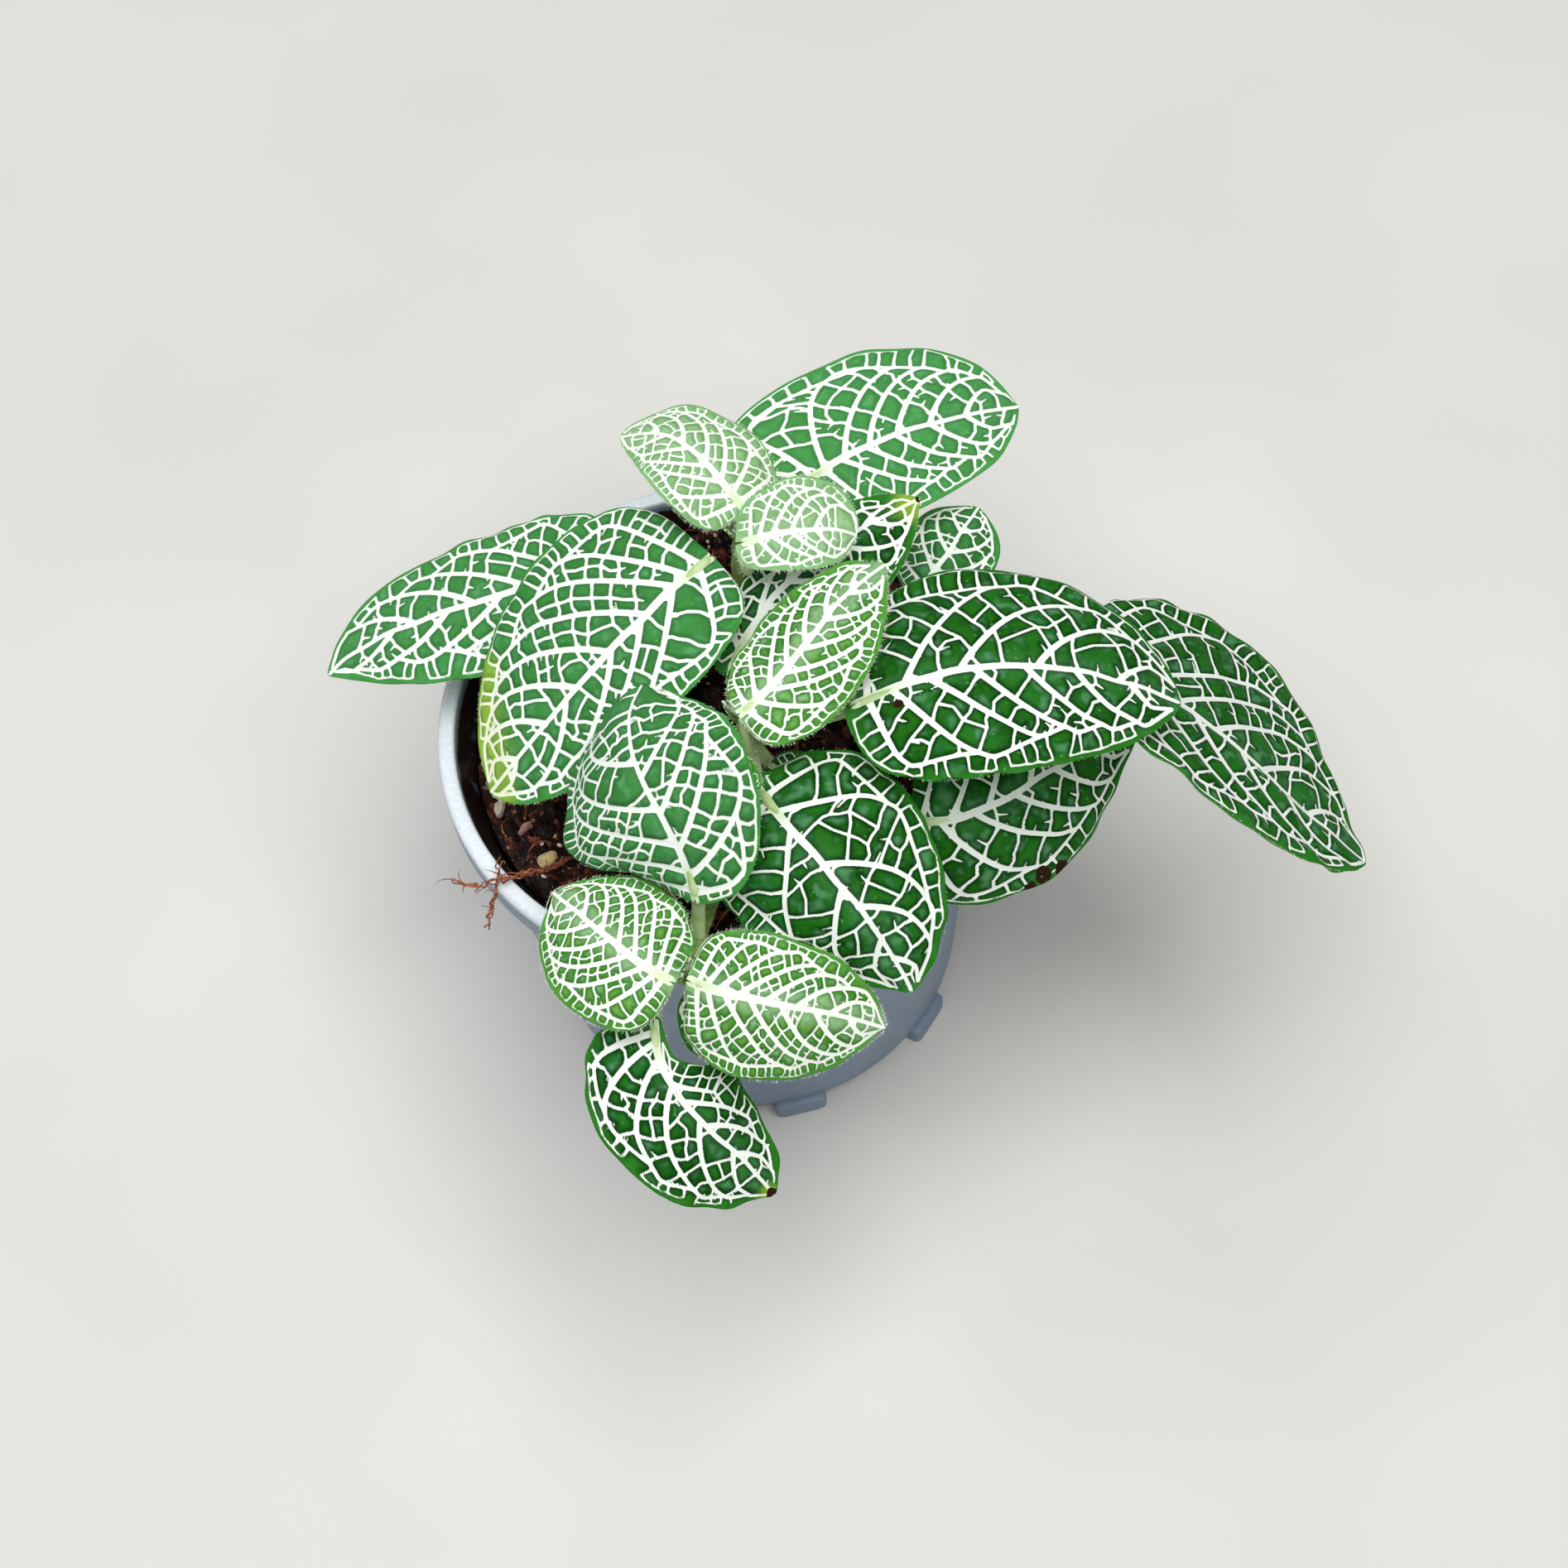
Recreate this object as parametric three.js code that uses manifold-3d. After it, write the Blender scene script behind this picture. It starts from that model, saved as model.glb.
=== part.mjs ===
// Potted nerve plant (Fittonia): a small moulded plastic pot full of potting mix, with four leafy
// shoots. Millimetres, +Z up. The origin is the middle of the pot's flat underside. -Y is the side
// that the front shoot leans over, +X is the side that the longest leaves reach out on.
import * as THREE from 'three';
import { mergeVertices } from 'three/addons/utils/BufferGeometryUtils.js';
import Module from 'manifold-3d';

const wasm = await Module();
wasm.setup();

// Driving dimensions of the pot
const POT_HEIGHT = 52;
const RIM_RADIUS = 30;
const FOOT_RADIUS = 23.6;
const WALL = 1.2;
const FLOOR = 1.6;
const FOOT_HEIGHT = 2;
const FOOT_COUNT = 8;
const FOOT_WIDTH = 6;
const FOOT_DEPTH = 3.6;
const FOOT_TURN = 5;
const FOOT_PROUD = 0.8;
const PAD_RADIUS = 7;
const LIP_DROP = 4;
const LIP_OVERHANG = 1.7;
const LIP_ROUND = 0.9;
const FOOT_ROUND = 0.8;
const POT_SEGMENTS = 40;
const DRAIN_HOLES = 4;
const DRAIN_RADIUS = 2;
const DRAIN_CIRCLE = 13;
const DRAIN_SIDES = 12;

// Driving dimensions of the potting mix
const SOIL_LEVEL = 47;
const SOIL_BUMP = 0.8;
const SOIL_SEGMENTS = 28;
const SOIL_RINGS = [1, 0.86, 0.72, 0.56, 0.4, 0.24];
const GRAIN_LIFT = 0.25;
const GAP = 0.36;
const FOOT_CLEARANCE = 0.8;

// Bright grains of perlite and bark crumbs half sunk in the top of the mix: place and radius.
const GRAINS = [
  [-20, -11.4, 1.4], [-25, 1.4, 1.2], [-24.6, -4, 1.3], [-20.2, -15.2, 1.1], [-17, -17.5, 1],
  [-22.5, 6, 1.1], [-22, -7.5, 0.9], [-15, -11, 1.2], [-12, -20.5, 1.1], [-18, 13, 1.2],
  [9.5, -18, 1.2], [16, -17, 1.1], [-8, 20, 1.1], [19, 12, 1.2], [10.5, 20, 1],
];

// A torn root strand that lies over the rim: a main thread and three side threads.
const STRAND_RADIUS = 0.45;
const STRAND = [
  [[-17.5, -12.6, 49.3], [-20.2, -14.8, 51.6], [-22.6, -15.6, 53], [-25.3, -16, 53.1], [-30, -16.8, 52.6]],
  [[-25.1, -16, 53.1], [-24.6, -14.6, 53.2], [-24.2, -13.2, 53.1]],
  [[-24.8, -16, 53.1], [-25.6, -18.2, 53], [-26.4, -19.8, 51.4], [-26, -20.6, 50]],
  [[-27, -16.2, 53], [-28.6, -15.6, 53.1], [-29.8, -14.6, 52.7]],
];

// Driving dimensions of the stems, leaf stalks and blades
const STEM_RADIUS = 1.2;
const STEM_SIDES = 7;
const STEM_STEPS = 9;
const BUD_RADIUS = 1.4;
const STALK_RADIUS = 0.75;
const STALK_SIDES = 5;
const KNEE_OUT = 0.35;
const KNEE_RISE = 0.25;
const RIB_STATIONS = [0.12, 0.28, 0.45];
const BLADE_THICKNESS = 0.7;
const QUILT = 0.28;
const MIDRIB_GROOVE = 0.2;
const VEIN_SLANT = 0.6;
const SIDE_POWER = 1.5;
const LARGE_LEAF = 19;
const LARGE_CUT = { rows: 10, columns: 3, stalkSteps: 9 };
const SMALL_CUT = { rows: 8, columns: 2, stalkSteps: 7 };
const NOTCH_START = 0.12;
const NOTCH_END = 0.4;

const UP = new THREE.Vector3(0, 0, 1);

// Each stem is a smooth line through its points, from 8 mm down in the potting mix to its tip.
const STEMS = {
  front: [[-1, -13, 38], [-1.5, -15, 46], [-3, -22, 54.5], [-5.5, -29.5, 58], [-7, -34.5, 61.5]],
  middle: [[3, -2, 38], [3, -3, 46], [3, -7, 58], [3, -12, 68], [3, -13.5, 73.5]],
  back: [[2.5, 7, 38], [2.5, 7, 46], [4, 7, 60], [5.5, 6.8, 75]],
  right: [[14, 3, 38], [14, 2, 46], [17, 0, 53], [23, -3, 59]],
};

// A leaf: where its stalk leaves the stem (0 at the root end, 1 at the tip), where its blade starts
// and ends, how far the midrib rises and bends aside at one third and two thirds of its length, its
// width, where it is widest, how blunt its two ends are (0.5 is round, 1 is pointed), how far it is
// rolled about its midrib in degrees, how its sides fold up, how much broader its +v side is, and
// how far its base lobes reach back past the stalk. A notch is a bite out of the -v side's base.
const LEAVES = [
  {
    name: 'leaf_back_left', stem: 'back', at: 0.45,
    base: [-9, 15.5, 64], tip: [-40, 9.5, 57], rise: [2, 4], sweep: [-4, 2],
    width: 16.5, widest: 0.25, blunt: [0.58, 0.95], roll: -3, fold: -0.18, skew: 0.02, lobe: 0.06,
  },
  {
    name: 'leaf_left', stem: 'back', at: 0.75,
    base: [2, 5.5, 74], tip: [-24, -9.5, 60], rise: [4.5, 3.5], sweep: [-0.5, -1],
    width: 23.5, widest: 0.25, blunt: [0.52, 0.71], roll: 1, fold: -0.09, skew: 0.21, lobe: 0.01,
  },
  {
    name: 'leaf_young_back_left', stem: 'back', at: 0.88, young: true,
    base: [6, 8.5, 78], tip: [-5, 19, 78], rise: [2, 3], sweep: [1.5, 3.5],
    width: 13, widest: 0.25, blunt: [0.53, 0.69], roll: 13, fold: -0.14, skew: 0.07, lobe: 0.06,
  },
  {
    name: 'leaf_young_back_right', stem: 'back', at: 0.95, young: true,
    base: [6, 4.2, 78], tip: [17, 3.5, 77], rise: [2, 2], sweep: [0.5, -0.5],
    width: 10, widest: 0.4, blunt: [0.47, 0.68], roll: 12, fold: -0.05, skew: -0.18, lobe: 0.12,
  },
  {
    name: 'leaf_back', stem: 'back', at: 0.75,
    base: [13, 16.2, 68.8], tip: [36.5, 22.2, 67.8], rise: [1, 1.5], sweep: [-2.5, -1],
    width: 20.5, widest: 0.25, blunt: [0.38, 0.8], roll: 4, fold: -0.07, skew: -0.12, lobe: 0.3,
  },
  {
    name: 'leaf_inner_back', stem: 'middle', at: 0.6,
    base: [2.8, -3.8, 68.5], tip: [24, 8.4, 74.2], rise: [1.5, 1], sweep: [-3.8, -2.6],
    width: 12, widest: 0.38, blunt: [0.5, 1], roll: 0, fold: -0.12, skew: 0.27, lobe: 0.06,
  },
  {
    name: 'leaf_small_back_right', stem: 'right', at: 0.55,
    base: [23, 5.5, 62], tip: [30.5, 13, 64], rise: [1, 0.5], sweep: [1, 0],
    width: 10.5, widest: 0.33, blunt: [0.51, 0.74], roll: 2, fold: -0.15, skew: -0.02, lobe: 0.11,
  },
  {
    name: 'leaf_right', stem: 'middle', at: 0.82,
    base: [14.5, -15, 76], tip: [45.5, -18.5, 72], rise: [6, 4.5], sweep: [-2.5, -2.5],
    width: 25, widest: 0.25, blunt: [0.76, 0.75], roll: -4, fold: -0.21, skew: -0.12, lobe: 0.06,
  },
  {
    name: 'leaf_far_right', stem: 'right', at: 0.9,
    base: [37, -7.5, 67], tip: [63.5, -28, 50], rise: [4.5, 3], sweep: [-2, 1],
    width: 30, widest: 0.25, blunt: [0.58, 0.88], roll: -34, fold: 0.02, skew: -0.21, lobe: 0.01,
  },
  {
    name: 'leaf_under_right', stem: 'right', at: 0.75,
    base: [18, -21.5, 62], tip: [42, -15, 60], rise: [1, 1.5], sweep: [5, -2],
    width: 19, widest: 0.25, blunt: [0.39, 0.79], roll: 34, fold: -0.38, skew: 0.04, lobe: 0.01,
  },
  {
    name: 'leaf_centre', stem: 'middle', at: 0.88, young: true,
    base: [3, -14.5, 77], tip: [19, -2.5, 80], rise: [0.5, 0.5], sweep: [1.5, -2],
    width: 13, widest: 0.25, blunt: [0.66, 0.79], roll: -6, fold: -0.18, skew: 0.07, lobe: 0.03,
  },
  {
    name: 'leaf_front_left', stem: 'front', at: 0.72,
    base: [-4.5, -29, 68], tip: [-6.5, -8.5, 75], rise: [4.5, 5.5], sweep: [0.5, -6],
    width: 23.5, widest: 0.38, blunt: [0.67, 0.63], roll: -36, fold: -0.33, skew: -0.15, lobe: 0.04,
  },
  {
    name: 'leaf_young_front_left', stem: 'front', at: 0.83, young: true,
    base: [-8.3, -35.9, 64.8], tip: [-18.5, -23.8, 63.6], rise: [2.5, 2], sweep: [-1.5, -0.5],
    width: 15, widest: 0.27, blunt: [0.54, 0.81], roll: -10, fold: -0.27, skew: -0.01, lobe: 0.06,
  },
  {
    name: 'leaf_young_front_right', stem: 'front', at: 0.83, young: true,
    base: [-5.8, -36.8, 65], tip: [12, -42.5, 60], rise: [4, 2.5], sweep: [2.5, 0.5],
    width: 14.5, widest: 0.25, blunt: [0.54, 0.92], roll: 34, fold: -0.24, skew: 0.12, lobe: 0.045,
  },
  {
    name: 'leaf_front', stem: 'front', at: 0.72,
    base: [-10.5, -38, 59], tip: [-1.5, -53, 48], rise: [2.5, 2], sweep: [5, 0],
    width: 15, widest: 0.25, blunt: [0.62, 0.85], roll: -2, fold: -0.22, skew: 0.12, lobe: 0.05,
    notch: 0.8,
  },
  {
    name: 'leaf_front_right', stem: 'middle', at: 0.72,
    base: [3.5, -20.5, 71], tip: [15, -39.5, 61], rise: [5, 3.5], sweep: [1, -1],
    width: 21, widest: 0.25, blunt: [0.72, 0.83], roll: 21, fold: -0.36, skew: -0.01, lobe: 0.08,
  },
  {
    name: 'leaf_small_centre', stem: 'middle', at: 0.79, young: true,
    base: [0.2, -17.4, 73.8], tip: [0.8, -23.4, 72.8], rise: [0.5, 0.5], sweep: [0, 0],
    width: 6.5, widest: 0.35, blunt: [0.55, 0.7], roll: 0, fold: 0, skew: 0, lobe: 0,
  },
  {
    name: 'leaf_small_shade', stem: 'middle', at: 0.55,
    base: [5, -12, 61], tip: [12, -20, 59], rise: [1, 1], sweep: [0, 0],
    width: 8, widest: 0.35, blunt: [0.55, 0.7], roll: 0, fold: -0.1, skew: 0, lobe: 0.05,
  },
  {
    name: 'leaf_small_front', stem: 'front', at: 0.78,
    base: [-6.2, -34.4, 58.2], tip: [-5.6, -41, 56.2], rise: [0.5, 0.5], sweep: [0, 0],
    width: 4.5, widest: 0.35, blunt: [0.55, 0.7], roll: 0, fold: 0, skew: 0, lobe: 0,
  },
];

const vec = (p) => new THREE.Vector3(p[0], p[1], p[2]);

// A closed geometry as a solid for joining and cutting.
function solid(geometry) {
  const bare = geometry.index ? geometry.toNonIndexed() : geometry.clone();
  bare.deleteAttribute('normal');
  bare.deleteAttribute('uv');
  const merged = mergeVertices(bare, 1e-4);
  return new wasm.Manifold(new wasm.Mesh({
    numProp: 3,
    vertProperties: new Float32Array(merged.attributes.position.array),
    triVerts: new Uint32Array(merged.index.array),
  }));
}

// The geometry of a joined or cut solid.
function geometryOf(manifold) {
  const mesh = manifold.getMesh();
  const geometry = new THREE.BufferGeometry();
  geometry.setAttribute('position', new THREE.BufferAttribute(new Float32Array(mesh.vertProperties), 3));
  geometry.setIndex(new THREE.BufferAttribute(new Uint32Array(mesh.triVerts), 1));
  geometry.computeVertexNormals();
  return geometry;
}

// A round bar of a few sides swept along a curve.
function rod(curve, radius, sides, steps) {
  const section = new THREE.Shape();
  for (let i = 0; i < sides; i += 1) {
    const angle = (2 * Math.PI * i) / sides;
    if (i === 0) {
      section.moveTo(radius * Math.cos(angle), radius * Math.sin(angle));
    } else {
      section.lineTo(radius * Math.cos(angle), radius * Math.sin(angle));
    }
  }
  section.closePath();
  return new THREE.ExtrudeGeometry(section, { steps, extrudePath: curve, bevelEnabled: false });
}

// The pot's outer radius at a height: a straight taper from the underside of the wall to the rim.
function potRadius(z) {
  const share = (z - FOOT_HEIGHT) / (POT_HEIGHT - FOOT_HEIGHT);
  return FOOT_RADIUS + (RIM_RADIUS - LIP_OVERHANG - FOOT_RADIUS) * share;
}

// A lathe-turned shell with an overhanging lip. It stands on eight small feet round its edge and a
// round pad in the middle, with drain holes between them.
function potGeometry() {
  const inner = (z) => potRadius(z) - WALL;
  const lipFoot = POT_HEIGHT - LIP_DROP;
  const profile = [
    [0, 0],
    [PAD_RADIUS, 0],
    [PAD_RADIUS, FOOT_HEIGHT],
    [FOOT_RADIUS - FOOT_ROUND, FOOT_HEIGHT],
    [FOOT_RADIUS, FOOT_HEIGHT + FOOT_ROUND],
    [potRadius(lipFoot), lipFoot],
    [RIM_RADIUS - LIP_ROUND / 3, lipFoot],
    [RIM_RADIUS, lipFoot + LIP_ROUND],
    [RIM_RADIUS, POT_HEIGHT - LIP_ROUND],
    [RIM_RADIUS - LIP_ROUND / 3, POT_HEIGHT - LIP_ROUND / 3],
    [RIM_RADIUS - LIP_ROUND, POT_HEIGHT],
    [inner(POT_HEIGHT) + LIP_ROUND / 3, POT_HEIGHT],
    [inner(POT_HEIGHT), POT_HEIGHT - LIP_ROUND / 2],
    [inner(FOOT_HEIGHT + FLOOR), FOOT_HEIGHT + FLOOR],
    [0, FOOT_HEIGHT + FLOOR],
  ];
  const shell = new THREE.LatheGeometry(profile.map((p) => new THREE.Vector2(p[0], p[1])), POT_SEGMENTS);
  shell.rotateX(Math.PI / 2);
  let pot = solid(shell);
  for (let i = 0; i < FOOT_COUNT; i += 1) {
    const foot = new THREE.BoxGeometry(FOOT_DEPTH, FOOT_WIDTH, FOOT_HEIGHT + FLOOR / 2);
    foot.translate(FOOT_RADIUS + FOOT_PROUD - FOOT_DEPTH / 2, 0, (FOOT_HEIGHT + FLOOR / 2) / 2);
    foot.rotateZ(THREE.MathUtils.degToRad(FOOT_TURN) + (2 * Math.PI * i) / FOOT_COUNT);
    pot = pot.add(solid(foot));
  }
  for (let i = 0; i < DRAIN_HOLES; i += 1) {
    const hole = new THREE.CylinderGeometry(DRAIN_RADIUS, DRAIN_RADIUS, 4 * FOOT_HEIGHT, DRAIN_SIDES);
    hole.rotateX(Math.PI / 2);
    hole.translate(DRAIN_CIRCLE, 0, FOOT_HEIGHT);
    hole.rotateZ((2 * Math.PI * (i + 0.5)) / DRAIN_HOLES);
    pot = pot.subtract(solid(hole));
  }
  return geometryOf(pot);
}

// Height of the crumbly top of the potting mix: three crossing waves, fading to the wall.
function soilTop(x, y) {
  const waves = Math.sin(x * 0.9 + 1.3) + Math.sin(y * 1.1 + x * 0.35) + Math.sin((x - y) * 0.55 + 2);
  return SOIL_LEVEL + (SOIL_BUMP * waves) / 2;
}

function soilGeometry(stemRods) {
  const edge = (z) => potRadius(z) - WALL - GAP;
  const bottom = FOOT_HEIGHT + FLOOR + GAP;
  const profile = [[0, bottom], [edge(bottom), bottom]];
  for (const ring of SOIL_RINGS) {
    profile.push([edge(SOIL_LEVEL - 2) * ring, SOIL_LEVEL]);
  }
  profile.push([0, SOIL_LEVEL]);
  const body = new THREE.LatheGeometry(profile.map((p) => new THREE.Vector2(p[0], p[1])), SOIL_SEGMENTS);
  body.rotateX(Math.PI / 2);
  const place = body.attributes.position;
  for (let i = 0; i < place.count; i += 1) {
    if (place.getZ(i) > SOIL_LEVEL - 1) {
      place.setZ(i, soilTop(place.getX(i), place.getY(i)));
    }
  }
  let soil = solid(body);
  for (const hole of stemRods) {
    soil = soil.subtract(hole);
  }
  for (const [x, y, radius] of GRAINS) {
    const grain = new THREE.OctahedronGeometry(radius);
    grain.rotateZ(x + y);
    grain.translate(x, y, soilTop(x, y) + radius * GRAIN_LIFT);
    soil = soil.add(solid(grain));
  }
  return geometryOf(soil);
}

function stemCurve(name) {
  return new THREE.CatmullRomCurve3(STEMS[name].map(vec));
}

// A stem with the small round bud at its growing tip.
function stemGeometry(name) {
  const curve = stemCurve(name);
  const bud = new THREE.SphereGeometry(BUD_RADIUS, STEM_SIDES, 5);
  const tip = curve.getPoint(1);
  bud.translate(tip.x, tip.y, tip.z);
  const bar = rod(curve, STEM_RADIUS, STEM_SIDES, STEM_STEPS);
  return geometryOf(solid(bar).add(solid(bud)));
}

// The plain hole that a stem stands in, a little wider and deeper than the stem.
function stemHole(name) {
  const points = STEMS[name].map(vec);
  points[0].z -= GAP;
  return solid(rod(new THREE.CatmullRomCurve3(points), STEM_RADIUS + GAP, STEM_SIDES, STEM_STEPS));
}

function strandGeometry() {
  let strand = null;
  for (const points of STRAND) {
    const curve = new THREE.CatmullRomCurve3(points.map(vec));
    const thread = solid(rod(curve, STRAND_RADIUS, STALK_SIDES, 2 * (points.length - 1)));
    strand = strand ? strand.add(thread) : thread;
  }
  return geometryOf(strand);
}

// The midrib's line: a cubic curve from base to tip, pushed up and aside at its two inner points.
function midrib(leaf) {
  const base = vec(leaf.base);
  const tip = vec(leaf.tip);
  const along = tip.clone().sub(base).normalize();
  const up = UP.clone().addScaledVector(along, -UP.dot(along)).normalize();
  const side = along.clone().cross(up);
  const inner = [0, 1].map((k) => base.clone().lerp(tip, (k + 1) / 3)
    .addScaledVector(up, leaf.rise[k]).addScaledVector(side, leaf.sweep[k]));
  return new THREE.CubicBezierCurve3(base, inner[0], inner[1], tip);
}

// A point of the blade's upper face. s runs from 0 at the base to 1 at the tip, v from -1 to 1
// across. The half width is a power of sin(pi s), and the rows bend forward with the side veins.
function bladePoint(leaf, s, v) {
  const angle = Math.PI * s;
  const station = ((1 - Math.cos(angle)) / 2) ** (Math.log(leaf.widest) / Math.log(0.5));
  const bent = Math.abs(v) ** SIDE_POWER;
  const slant = VEIN_SLANT * station * (1 - station);
  const u = station + bent * (slant - leaf.lobe * (1 - station) ** 3);
  const blunt = leaf.blunt[0] + (leaf.blunt[1] - leaf.blunt[0]) * station;
  let half = (leaf.width / 2) * Math.sin(angle) ** (2 * blunt);
  half *= v > 0 ? 1 + leaf.skew : 1 - leaf.skew;
  if (leaf.notch && v < 0) {
    half *= 1 - leaf.notch * (1 - THREE.MathUtils.smoothstep(u, NOTCH_START, NOTCH_END));
  }
  const frame = ribFrame(leaf, u);
  return frame.point.addScaledVector(frame.side, v * half)
    .addScaledVector(frame.up, leaf.fold * v * v * half);
}

// Place, side and up directions at a station of the midrib. A station outside 0 to 1 runs straight on.
function ribFrame(leaf, u) {
  const curve = midrib(leaf);
  const held = Math.min(Math.max(u, 0), 1);
  const along = curve.getTangent(held);
  const speed = curve.getPoint(1).distanceTo(curve.getPoint(0));
  const point = curve.getPoint(held).addScaledVector(along, (u - held) * speed);
  const up = UP.clone().addScaledVector(along, -UP.dot(along)).normalize();
  up.applyAxisAngle(along, THREE.MathUtils.degToRad(leaf.roll));
  return { point, up, side: along.clone().cross(up) };
}

function bladeNormal(leaf, s, v) {
  const d = 0.02;
  const held = Math.min(Math.max(s, 2 * d), 1 - 2 * d);
  const across = bladePoint(leaf, held, v + d).sub(bladePoint(leaf, held, v - d));
  const along = bladePoint(leaf, held + d, v).sub(bladePoint(leaf, held - d, v));
  return across.cross(along).normalize();
}

// A closed blade: rows of points from base to tip, with every second row raised between the side
// veins, the midrib's column sunk, and the lower face cut into the same triangles as the upper.
function bladeGeometry(leaf, rows, columns) {
  const top = [];
  const bottom = [];
  const points = [];
  const add = (p) => points.push(p) - 1;
  for (let i = 0; i <= rows; i += 1) {
    const pole = i === 0 || i === rows;
    const topRow = [];
    const bottomRow = [];
    for (let j = -columns; j <= columns; j += 1) {
      if (pole && j > -columns) {
        topRow.push(topRow[0]);
        bottomRow.push(bottomRow[0]);
      } else {
        const v = pole ? 0 : j / columns;
        const normal = bladeNormal(leaf, i / rows, v);
        const raised = i % 2 === 1 && j !== 0 && Math.abs(j) < columns ? QUILT : 0;
        const relief = j === 0 && !pole ? -MIDRIB_GROOVE : raised;
        const place = bladePoint(leaf, i / rows, v).addScaledVector(normal, relief);
        topRow.push(add(place));
        bottomRow.push(add(place.clone().addScaledVector(normal, -BLADE_THICKNESS)));
      }
    }
    top.push(topRow);
    bottom.push(bottomRow);
  }
  const index = [];
  const face = (a, b, c) => {
    if (a !== b && b !== c && a !== c) {
      index.push(a, b, c);
    }
  };
  const last = 2 * columns;
  for (let i = 0; i < rows; i += 1) {
    for (let j = 0; j < last; j += 1) {
      face(top[i][j], top[i][j + 1], top[i + 1][j + 1]);
      face(top[i][j], top[i + 1][j + 1], top[i + 1][j]);
      face(bottom[i][j], bottom[i + 1][j + 1], bottom[i][j + 1]);
      face(bottom[i][j], bottom[i + 1][j], bottom[i + 1][j + 1]);
    }
    face(top[i][0], top[i + 1][0], bottom[i][0]);
    face(bottom[i][0], top[i + 1][0], bottom[i + 1][0]);
    face(top[i][last], bottom[i][last], top[i + 1][last]);
    face(bottom[i][last], bottom[i + 1][last], top[i + 1][last]);
  }
  const geometry = new THREE.BufferGeometry();
  const flat = points.flatMap((p) => [p.x, p.y, p.z]);
  geometry.setAttribute('position', new THREE.Float32BufferAttribute(flat, 3));
  geometry.setIndex(index);
  return geometry;
}

// The stalk's line: from just clear of the stem to the blade, then on as the rib under the midrib.
function stalkCurve(leaf) {
  const stem = stemCurve(leaf.stem);
  const node = stem.getPoint(leaf.at);
  const rise = stem.getTangent(leaf.at);
  const base = vec(leaf.base);
  const out = base.clone().sub(node);
  out.addScaledVector(rise, -out.dot(rise)).normalize();
  const foot = node.clone().addScaledVector(out, STEM_RADIUS + FOOT_CLEARANCE);
  const reach = foot.distanceTo(base);
  const knee = foot.clone().addScaledVector(out, reach * KNEE_OUT).lerp(base, KNEE_RISE);
  const under = RIB_STATIONS.map((u) => {
    const frame = ribFrame(leaf, u);
    return frame.point.addScaledVector(frame.up, -BLADE_THICKNESS);
  });
  const start = ribFrame(leaf, 0);
  const seat = start.point.addScaledVector(start.up, -BLADE_THICKNESS / 2);
  return new THREE.CatmullRomCurve3([foot, knee, seat, ...under]);
}

function leafGeometry(leaf) {
  const cut = vec(leaf.base).distanceTo(vec(leaf.tip)) > LARGE_LEAF ? LARGE_CUT : SMALL_CUT;
  const blade = solid(bladeGeometry(leaf, cut.rows, cut.columns));
  const stalk = solid(rod(stalkCurve(leaf), STALK_RADIUS, STALK_SIDES, cut.stalkSteps));
  return geometryOf(blade.add(stalk));
}

const plant = new THREE.Group();

function place(name, geometry, color, roughness) {
  const material = new THREE.MeshStandardMaterial({ color, roughness, metalness: 0 });
  const mesh = new THREE.Mesh(geometry, material);
  mesh.name = name;
  plant.add(mesh);
}

place('pot', potGeometry(), '#c9d2da', 0.45);
place('soil', soilGeometry(Object.keys(STEMS).map(stemHole)), '#3a2018', 0.95);
place('root_strand', strandGeometry(), '#7a3f24', 0.9);
for (const name of Object.keys(STEMS)) {
  place(`stem_${name}`, stemGeometry(name), '#8fa75a', 0.6);
}
for (const leaf of LEAVES) {
  place(leaf.name, leafGeometry(leaf), leaf.young ? '#8fbf6a' : '#2f6b3c', 0.55);
}

export default plant;
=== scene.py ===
"""Looks of a potted nerve plant: leaves with their white net of veins, stems, mix and pot.

All shapes are worked out in millimetres in the part's own frame (+Z up, origin under the pot) and
put into the meshes in metres.
"""
import math

import bpy
import numpy as np
from mathutils import Matrix


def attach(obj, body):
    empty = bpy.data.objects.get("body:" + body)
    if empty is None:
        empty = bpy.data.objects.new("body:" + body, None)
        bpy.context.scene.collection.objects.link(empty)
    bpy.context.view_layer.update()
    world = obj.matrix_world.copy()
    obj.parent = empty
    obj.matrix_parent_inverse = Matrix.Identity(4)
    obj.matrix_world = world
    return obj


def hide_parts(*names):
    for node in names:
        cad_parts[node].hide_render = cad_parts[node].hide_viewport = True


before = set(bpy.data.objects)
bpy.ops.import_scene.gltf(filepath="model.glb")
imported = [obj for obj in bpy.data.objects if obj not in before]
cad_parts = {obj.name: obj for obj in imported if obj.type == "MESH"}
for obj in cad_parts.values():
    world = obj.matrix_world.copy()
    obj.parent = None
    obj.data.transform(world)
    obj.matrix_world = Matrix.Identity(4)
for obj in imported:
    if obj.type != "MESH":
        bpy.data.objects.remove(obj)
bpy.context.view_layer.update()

MM = 0.001

# Pot in mm, as the solids have it, and the turn of its first foot in degrees
POT_HEIGHT = 52
RIM_RADIUS = 30
FOOT_RADIUS = 23.6
WALL = 1.2
FLOOR = 1.6
FOOT_HEIGHT = 2
FOOT_COUNT = 8
FOOT_WIDTH = 6
FOOT_DEPTH = 3.6
FOOT_TURN = 5
FOOT_PROUD = 0.8
PAD_RADIUS = 7
LIP_DROP = 4
LIP_OVERHANG = 1.7
LIP_ROUND = 0.9
LIP_WIDTH = 1.9
DRAIN_HOLES = 4
DRAIN_RADIUS = 2
DRAIN_CIRCLE = 13

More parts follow.
